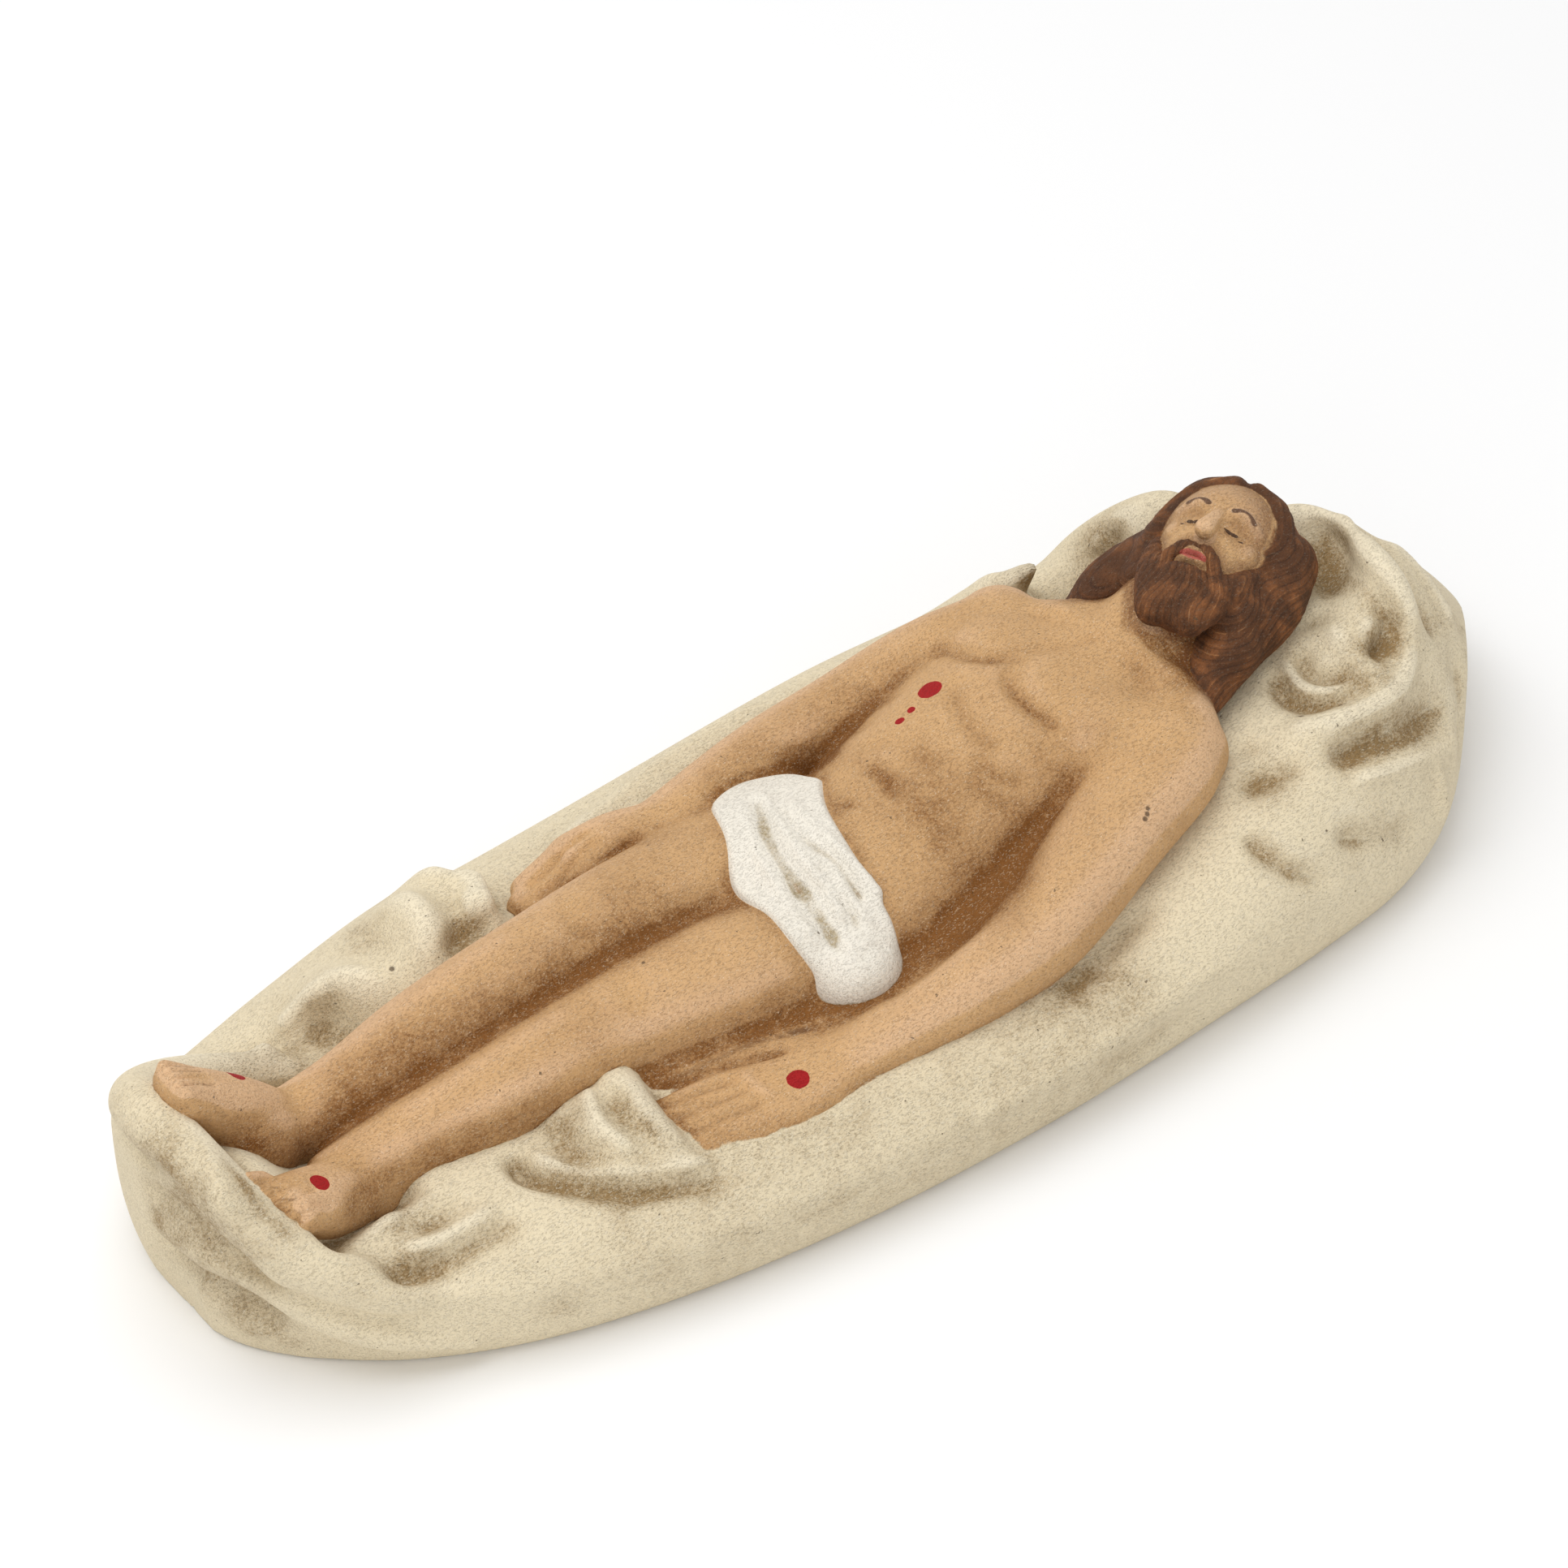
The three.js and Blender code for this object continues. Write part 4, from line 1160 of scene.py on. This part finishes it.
# Patina left in the cloth's deepest places, besides what lies in every hollow drawn into it.
TINTED = [
    # behind the far foot, and the gathered heaps beside the shin and the knee
    (1.1, 3.4, [(-82, 18, 17), (-77.9, 21.4, 16.6), (-74.7, 19.2, 15.4), (-71.4, 17.2, 13.9)]),
    (0.7, 3.4, [(-67, 21.5, 17.8), (-65, 20.8, 19.3), (-63.2, 19.8, 21)]),
    (0.5, 2.6, [(-56.3, 28.3, 18.5), (-54.2, 26.7, 20.5), (-52.9, 24.1, 23.1)]),
    (0.8, 2.8, [(-51.7, 14.9, 21.9), (-46.9, 17.4, 20.5), (-44.1, 17.9, 21.9)]),
    (0.8, 1, [(-94.9, -4.2, 29.1), (-94.4, -6.8, 27.5), (-94, -10.2, 25.3), (-92.4, -13.4, 23.4)]),
    # the cuff, its hem, and the wall under it
    (0.8, 5.4, [(-101, 7, 29), (-100, 1, 28), (-98, -5, 25), (-94, -12, 22)]),
    (0.5, 3.4, [(-99.7, 6, 16.7), (-99.7, -1, 17.1), (-98.3, -7.1, 15.9)]),
    (0.5, 3, [(-99.3, 6.3, 16), (-99.6, -0.9, 12), (-95.8, -6, 6), (-90, -13.8, 3)]),
    # beside the near foot, and on the fold over the fingertips
    (0.9, 2.4, [(-87.3, -12.6, 19), (-81.6, -11.4, 18), (-74, -10, 16)]),
    (0.5, 3, [(-81.5, -14.3, 16.4), (-76.6, -15.4, 15.4), (-72, -15.6, 15.3)]),
    (0.5, 3, [(-89.2, -18.8, 17.1), (-82.9, -17.8, 14.7), (-76.7, -18.7, 14.1)]),
    (0.6, 3, [(-57.3, -10, 16.3), (-53.4, -11.2, 16.8), (-53.4, -16.1, 17.4)]),
    (0.6, 2.6, [(-46.8, -15.3, 18.1), (-46.3, -19.4, 18.3), (-45, -22.5, 17.3)]),
    (0.6, 3, [(-58.8, -15.2, 16), (-56.7, -20.5, 14.9), (-53, -25.1, 13.5)]),
    # the near side, by the elbow and down the wall
    (0.55, 8, [(-52, -14, 17), (-46, -18, 17), (-50, -20, 16)]),
    (0.6, 3, [(17.7, -31.9, 14.7), (11, -30.7, 13.7), (5.8, -30.6, 14.7)]),
    (0.5, 2.6, [(-68, -28.4, 7), (-64, -28.8, 7)]),
    (0.5, 2.2, [(-56, -32, 8), (-54, -32.2, 8)]),
    (0.35, 8, [(-60, -26, 14), (-30, -31, 14), (0, -34, 14), (20, -34, 14)]),
    (0.3, 7, [(-60, -31, 5), (-20, -36, 5), (20, -37, 5)]),
    # the pillow: beside the hair, the swirl, the long valley, and the pits below it
    (0.5, 3.4, [(76.2, 0.8, 31.1), (76.3, -2.4, 29.1), (73.8, -4.5, 27.8)]),
    (0.5, 3, [(74.4, -13.6, 29.6), (71.1, -16, 27.6), (66.4, -16.5, 27.7)]),
    (0.5, 2.6, [(65.2, -8.8, 27.1), (59.4, -10.9, 24.9), (58.2, -15.5, 23.3), (61, -20, 25)]),
    (0.55, 3.6, [(55.9, -25.7, 22.3), (65, -24.9, 20.8), (77.3, -24, 17.3)]),
    (0.6, 3.2, [(44, -19.3, 21.7), (47.1, -23.6, 20.9), (49.1, -25.7, 22)]),
    (0.4, 2.6, [(40.6, -28.1, 19), (42.2, -31, 17.5), (45.4, -33.6, 14.8)]),
    (0.35, 2.4, [(52.3, -31.6, 17.6), (58.8, -32.5, 13.1), (64.8, -32.3, 10.8)]),
    (0.4, 5, [(88, -8, 26), (86, -16, 20)]),
    (0.3, 8, [(70, -12, 28), (66, -20, 25), (76, -20, 24)]),
    (0.35, 8, [(82, 14, 30), (84, 2, 30)]),
    # far side
    (0.7, 5, [(62, 20, 29), (55, 24, 23), (47, 22, 23)]),
    (0.45, 6, [(-36, 24, 17), (-10, 27, 17), (16, 28, 18)]),
]
TINT_PER_DEPTH = 0.2
TINT_WIDER = 1.5
TINTED += [
    (-TINT_PER_DEPTH * rise, TINT_WIDER * width, line) for rise, width, line in DRAPERY if rise < 0
]
for name, strokes in (("sprayed", SPRAYED), ("tinted", TINTED), ("lined", LINED)):
    pin(name, worked(casting.data, strokes))

# Brush lines on the face, in the head's frame.
FACE_PAINT = {
    "brows": both_sides([(1, 0.42, [(1.5, 2, 8.2), (2.8, 2.7, 7.9), (4.6, 2, 6.6)])]),
    "lashes": both_sides(
        [(1, 0.17, [(1.6, -0.55, 7.4), (2.4, -0.95, 7.5), (3.3, -0.95, 7.2), (4.2, -0.5, 6.4)])]
    ),
    "lips": [
        (0.9, 0.5, [(-1.7, -6.15, 7.4), (0, -5.95, 8.1), (1.7, -6.15, 7.4)]),
        (0.9, 0.5, [(-1.3, -6.75, 7.4), (0, -6.95, 8), (1.3, -6.75, 7.4)]),
    ],
}
for name, strokes in FACE_PAINT.items():
    pin(name, worked(casting.data, on_head(strokes)))

# Round spots of paint: (radius, place). First the red wounds, then pits where the paint has gone.
WOUNDS = [
    (1.6, (19, 9.1, 31)),
    (0.6, (15.4, 8.2, 30)),
    (0.6, (13.4, 8, 29.5)),
    (1.4, (-27.3, -23.7, 16)),
    (1.3, (-84.8, -7.7, 24)),
    (1.2, (-85.2, 8, 30)),
]
PITS = [
    (0.4, (28.6, -22, 27.5)),
    (0.4, (28.2, -22.5, 27.3)),
    (0.3, (27.6, -22.8, 27)),
    (0.35, (57, -18.6, 25)),
    (0.28, (59, -19.8, 25)),
    (0.28, (60.4, -20.4, 24.6)),
    (0.28, (61.8, -21.2, 24.2)),
    (0.35, (-57, 18, 21)),
    (0.3, (-14, -10, 22)),
    (0.3, (-34, -2, 24)),
    (0.3, (50, -30, 17)),
]

MILLIMETRE = 0.001  # in the scene's metres
put(casting.data, skin_points * MILLIMETRE)
casting.name = "entombed_figure"
casting.data.materials.clear()

# The paint: cream over the cloth with an olive-brown patina wiped out of its hollows, an airbrushed
# flesh tone, off-white on the loincloth, dark brown hair. All of it is matte, and rubbed and pitted.
paint = bpy.data.materials.new("painted_plaster")
paint.use_nodes = True
tree = paint.node_tree
shader = tree.nodes["Principled BSDF"]
shader.inputs["Roughness"].default_value = 0.72
shader.inputs["Specular IOR Level"].default_value = 0.35


def node(kind, **settings):
    """A new node in the paint, with settings of its own."""
    made = tree.nodes.new(kind)
    for name, value in settings.items():
        setattr(made, name, value)
    return made


def feed(socket, value):
    """Links a socket, or sets it to a number or to a shade in hexadecimal."""
    if isinstance(value, bpy.types.NodeSocket):
        tree.links.new(value, socket)
    elif isinstance(value, str):
        socket.default_value = colour(value)
    else:
        socket.default_value = value


def colour(shade):
    """A linear colour from a shade as it looks, in hexadecimal."""
    parts = [int(shade[i : i + 2], 16) / 255 for i in (0, 2, 4)]
    return [*(p / 12.92 if p < 0.04045 else ((p + 0.055) / 1.055) ** 2.4 for p in parts), 1]


def sums(operation, a, b=0.0, clamp=False):
    """One step of arithmetic on values in the paint."""
    made = node("ShaderNodeMath", operation=operation, use_clamp=clamp)
    feed(made.inputs[0], a)
    feed(made.inputs[1], b)
    return made.outputs[0]


def ramp(value, low, high, start=0.0, end=1.0):
    """Goes softly from start to end as the value goes from low to high."""
    made = node("ShaderNodeMapRange", interpolation_type="SMOOTHSTEP")
    sockets = ("Value", "From Min", "From Max", "To Min", "To Max")
    for name, number in zip(sockets, (value, low, high, start, end)):
        feed(made.inputs[name], number)
    return made.outputs["Result"]


def over(below, above, cover):
    """One shade laid over another, by how much it covers."""
    made = node("ShaderNodeMix", data_type="RGBA")
    feed(made.inputs["Factor"], cover)
    feed(made.inputs[6], below)
    feed(made.inputs[7], above)
    return made.outputs[2]


def pinned(name):
    """A value that the casting's points keep."""
    return node("ShaderNodeAttribute", attribute_name=name).outputs["Fac"]


place = node("ShaderNodeTexCoord").outputs["Object"]
FAR_OUTSIDE = -10.0  # millimetres in from a spot's rim, where there is no spot


def spots(marks):
    """How far a point lies inside the nearest of some round spots on the skin, in millimetres."""
    inside_any = FAR_OUTSIDE
    for size, centre in marks:
        apart = node("ShaderNodeVectorMath", operation="DISTANCE")
        feed(apart.inputs[0], place)
        apart.inputs[1].default_value = trees["whole"].find_nearest(Vector(centre))[0] * MILLIMETRE
        within = sums("SUBTRACT", size, sums("MULTIPLY", apart.outputs["Value"], 1 / MILLIMETRE))
        inside_any = sums("MAXIMUM", within, inside_any)
    return inside_any


def grain(size, detail=3.0, stretch=(1, 1, 1), turned=(0, 0, 0), rough=0.55):
    """Cloudy variation from 0 to 1 whose patches are about size millimetres across."""
    mapping = node("ShaderNodeMapping")
    feed(mapping.inputs["Vector"], place)
    mapping.inputs["Scale"].default_value = stretch
    mapping.inputs["Rotation"].default_value = turned
    noise = node("ShaderNodeTexNoise")
    feed(noise.inputs["Vector"], mapping.outputs[0])
    noise.inputs["Scale"].default_value = 1 / MILLIMETRE / size
    noise.inputs["Detail"].default_value = detail
    noise.inputs["Roughness"].default_value = rough
    return noise.outputs["Fac"]


def hairs(turned, size=0.24):
    """Fine short scratches, all lying about one way."""
    streaks = grain(size, 2.0, stretch=(0.36, 1, 1), turned=turned)
    return ramp(streaks, 0.6, 0.68)


light_hairs = sums("MAXIMUM", hairs((0, 0, 0.5)), hairs((0, 0, -0.6)))
dark_hairs = sums("MAXIMUM", hairs((0.4, 0, 1.4)), hairs((0, 0.5, 2.3), 0.18))
mottle = grain(9, 4.0)
blotch = grain(3.2, 5.0, rough=0.6)
stipple = grain(0.4, 4.0, rough=0.75)
fine = grain(0.22, 2.0)
pinholes = ramp(grain(0.9, 2.0), 0.735, 0.77)

# The cloth is cream, with an olive-brown patina that was brushed on and wiped off its crests, and a painted
# highlight on them.
CREAM = "e5d6b6"
PATINA = "967a50"
DEEP_PATINA = "7c643e"
WIPED_CREST_HIGHLIGHT = "efe3c8"
PALE_SCRATCH = "efe4cb"
DARK_SCRATCH = "806a44"
crease = pinned("shroud_crease")
dirt = sums("ADD", ramp(pinned("shroud_hollow"), 0, 2.6, 0, 0.7), ramp(crease, 0, 0.6, 0, 0.5))
dirt = sums("ADD", dirt, pinned("tinted"))
dirt = sums("ADD", dirt, ramp(mottle, 0.4, 0.8, 0, 0.3))
dirt = sums("MULTIPLY", dirt, ramp(blotch, 0.2, 0.8, 0.5, 1.3))
dirt = ramp(sums("MULTIPLY", dirt, ramp(stipple, 0.3, 0.7, 0.75, 1.2)), -0.1, 1.7)
cloth = over(CREAM, PATINA, dirt)
cloth = over(cloth, DEEP_PATINA, sums("MULTIPLY", dirt, ramp(stipple, 0.45, 0.65, 0, 0.35)))
# painted highlight: the crests go paler than the cream itself, besides being wiped clean of patina
cloth = over(cloth, WIPED_CREST_HIGHLIGHT, ramp(crease, -0.05, -0.6, 0, 0.6))
cloth = over(cloth, PALE_SCRATCH, sums("MULTIPLY", light_hairs, 0.4))
scratched = sums("ADD", sums("MULTIPLY", dirt, 0.5), 0.15)
cloth = over(cloth, DARK_SCRATCH, sums("MULTIPLY", dark_hairs, scratched))

# The flesh is one tan coat, airbrushed brown along the limbs and in the hollows of the body.
TAN = "cfa573"
SPRAY = "80501a"
DEEP_SPRAY = "643c12"
LIT_SKIN = "dfb892"
DARK_LINE = "5a3515"
SKIN_RUB = "e9c8a0"
SKIN_SCRATCH = "86592c"
flesh_edge = pinned("flesh_edge")
crease = pinned("whole_crease")
brown = sums("ADD", ramp(pinned("whole_hollow"), 0.1, 2.6, 0, 0.6), pinned("sprayed"))
brown = sums("ADD", brown, ramp(flesh_edge, 2.4, 0.1, 0, 0.4))
brown = sums("ADD", brown, ramp(crease, 0.03, 0.4, 0, 0.6))
brown = sums("ADD", brown, ramp(mottle, 0.4, 0.75, 0, 0.3))
brown = sums("MULTIPLY", brown, ramp(blotch, 0.2, 0.8, 0.6, 1.2))
brown = sums("MULTIPLY", brown, ramp(pinned("bare_face"), 0, 1, 1, 0.15))
brown = ramp(sums("MULTIPLY", brown, ramp(stipple, 0.3, 0.7, 0.75, 1.2)), -0.15, 1.7)
flesh = over(TAN, SPRAY, brown)
flesh = over(flesh, DEEP_SPRAY, sums("MULTIPLY", brown, ramp(stipple, 0.45, 0.65, 0, 0.35)))
lit = sums("MULTIPLY", ramp(crease, -0.06, -0.45, 0, 0.6), ramp(pinned("sprayed"), 0.2, 0.8, 1, 0))
flesh = over(flesh, LIT_SKIN, lit)
flesh = over(flesh, DARK_LINE, ramp(pinned("lined"), 0.15, 0.8, 0, 0.75))
flesh = over(flesh, SKIN_RUB, sums("MULTIPLY", light_hairs, 0.3))
flesh = over(flesh, SKIN_SCRATCH, sums("MULTIPLY", dark_hairs, 0.28))

# The loincloth is off-white, grey-brown in its folds.
OFF_WHITE = "ebe4d6"
FOLD_SHADE = "a08c66"
WRAP_SCRATCH = "8d7a55"
WRAP_RUB = "f6f1e6"
worn = sums("ADD", ramp(pinned("loincloth_crease"), 0.02, 0.32), ramp(mottle, 0.48, 0.75, 0, 0.3))
worn = sums("ADD", worn, sums("MULTIPLY", pinned("sprayed"), 0.35))
worn = sums("MULTIPLY", worn, ramp(blotch, 0.25, 0.7, 0.6, 1.1), clamp=True)
worn = ramp(sums("MULTIPLY", worn, ramp(stipple, 0.3, 0.7, 0.7, 1.2)), 0, 1.4)
wrap = over(OFF_WHITE, FOLD_SHADE, worn)
wrap = over(wrap, WRAP_SCRATCH, sums("MULTIPLY", dark_hairs, 0.12))
wrap = over(wrap, WRAP_RUB, sums("MULTIPLY", light_hairs, 0.4))

# Hair and beard are dark brown, rubbed lighter on the strands.
BROWN = "512f14"
RUBBED_BROWN = "8c562c"
STRAND_TIP = "a87a4e"
BETWEEN_STRANDS = "271207"
GREY_SCRATCH = "8f7a66"
rubbed = sums("ADD", ramp(blotch, 0.4, 0.65, 0, 0.8), ramp(pinned("strand"), 0.2, 1, 0, 0.35))
rubbed = sums("MULTIPLY", rubbed, ramp(mottle, 0.35, 0.6, 0.3, 1), clamp=True)
hair_shade = over(BROWN, RUBBED_BROWN, rubbed)
tips = sums("MULTIPLY", ramp(pinned("strand"), 0.55, 1, 0, 0.7), ramp(blotch, 0.48, 0.6))
hair_shade = over(hair_shade, STRAND_TIP, tips)
hair_shade = over(hair_shade, BETWEEN_STRANDS, ramp(pinned("strand"), -0.2, -1, 0, 0.5))
hair_shade = over(hair_shade, GREY_SCRATCH, sums("MULTIPLY", light_hairs, 0.25))

# The coats meet at hand-painted edges, and the face, the wear and the wounds come last.
HAZE = "6b3f22"
BROW = "4a2a1c"
LASH = "3a2418"
LIP = "b4504a"
PINHOLE = "5d4c36"
PIT = "4f3a26"
SPECK = "fff6e4"
BLOOD = "a00206"
wobble = sums("MULTIPLY", sums("SUBTRACT", grain(2.4, 3.0), 0.5), 0.7)
shade = over(flesh, cloth, ramp(sums("ADD", pinned("cloth_edge"), wobble), -0.1, 0.08))
shade = over(shade, wrap, ramp(pinned("wrap_edge"), -0.1, 0.05))
hair_edge = sums("ADD", pinned("hair_edge"), wobble)
haze = sums("MULTIPLY", ramp(hair_edge, -2.6, 0.2, 0, 0.8), ramp(flesh_edge, -0.1, 0.3))
shade = over(shade, HAZE, sums("MULTIPLY", haze, ramp(stipple, 0.3, 0.7, 0.5, 1)))
shade = over(shade, hair_shade, ramp(hair_edge, -0.1, 0.15))
shade = over(shade, BROW, ramp(pinned("brows"), 0.25, 0.6, 0, 0.85))
shade = over(shade, LASH, ramp(pinned("lashes"), 0.3, 0.7, 0, 0.9))
shade = over(shade, LIP, ramp(pinned("lips"), 0.35, 0.7, 0, 0.85))
shade = over(shade, PINHOLE, sums("MULTIPLY", pinholes, 0.75))
shade = over(shade, PIT, ramp(sums("ADD", spots(PITS), wobble), -0.05, 0.15, 0, 0.8))
speck = sums("MULTIPLY", ramp(fine, 0.62, 0.7), ramp(hair_edge, 0.1, -0.1, 0.03, 0.25))
shade = over(shade, SPECK, speck)
red = sums("ADD", spots(WOUNDS), wobble)
shade = over(shade, BLOOD, ramp(red, -0.04, 0.06))
feed(shader.inputs["Base Color"], shade)

# Scratches, stipple, blotches of thick paint and pinholes can be felt in its surface.
relief = sums("ADD", sums("MULTIPLY", light_hairs, 0.5), sums("MULTIPLY", dark_hairs, -0.5))
relief = sums("ADD", relief, sums("MULTIPLY", stipple, 0.8))
relief = sums("ADD", relief, sums("MULTIPLY", blotch, 0.8))
relief = sums("SUBTRACT", relief, sums("MULTIPLY", pinholes, 1.5))
bump = node("ShaderNodeBump")
bump.inputs["Strength"].default_value = 0.7
bump.inputs["Distance"].default_value = 0.25 * MILLIMETRE
feed(bump.inputs["Height"], relief)
feed(shader.inputs["Normal"], bump.outputs["Normal"])
casting.data.materials.append(paint)
casting.data.shade_smooth()
casting.data.set_sharp_from_angle(angle=math.radians(45))
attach(casting, "root")
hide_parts("entombed_figure_on_shroud")

# A plain pale floor and a plain white room, with a soft light overhead and a weaker one low down
# on the near side, beyond the feet.
build = bmesh.new()
bmesh.ops.create_grid(build, x_segments=1, y_segments=1, size=3)
floor = solid_of(build, "floor")
pale = bpy.data.materials.new("pale_floor")
pale.use_nodes = True
pale.node_tree.nodes["Principled BSDF"].inputs["Base Color"].default_value = (0.9, 0.9, 0.9, 1)
floor.data.materials.append(pale)
world = bpy.data.worlds.new("studio")
world.use_nodes = True
world.node_tree.nodes["Background"].inputs["Color"].default_value = (1, 1, 1, 1)
world.node_tree.nodes["Background"].inputs["Strength"].default_value = 0.7
bpy.context.scene.world = world
LAMP_SIZE = 0.7
LAMPS = [  # name, energy, place, and the height over the origin that it is aimed at
    ("softbox", 3.8, (-0.2, 0.15, 0.78), 0),
    ("fill", 1.6, (-0.6, -0.7, 0.25), 0.03),
]
for name, energy, stand, aim in LAMPS:
    lamp = bpy.data.objects.new(name, bpy.data.lights.new(name, "AREA"))
    bpy.context.scene.collection.objects.link(lamp)
    lamp.data.size = LAMP_SIZE
    lamp.data.energy = energy
    lamp.location = stand
    lamp.rotation_euler = (Vector((0, 0, aim)) - Vector(stand)).to_track_quat("-Z", "Y").to_euler()
bpy.context.scene.view_settings.view_transform = "Standard"
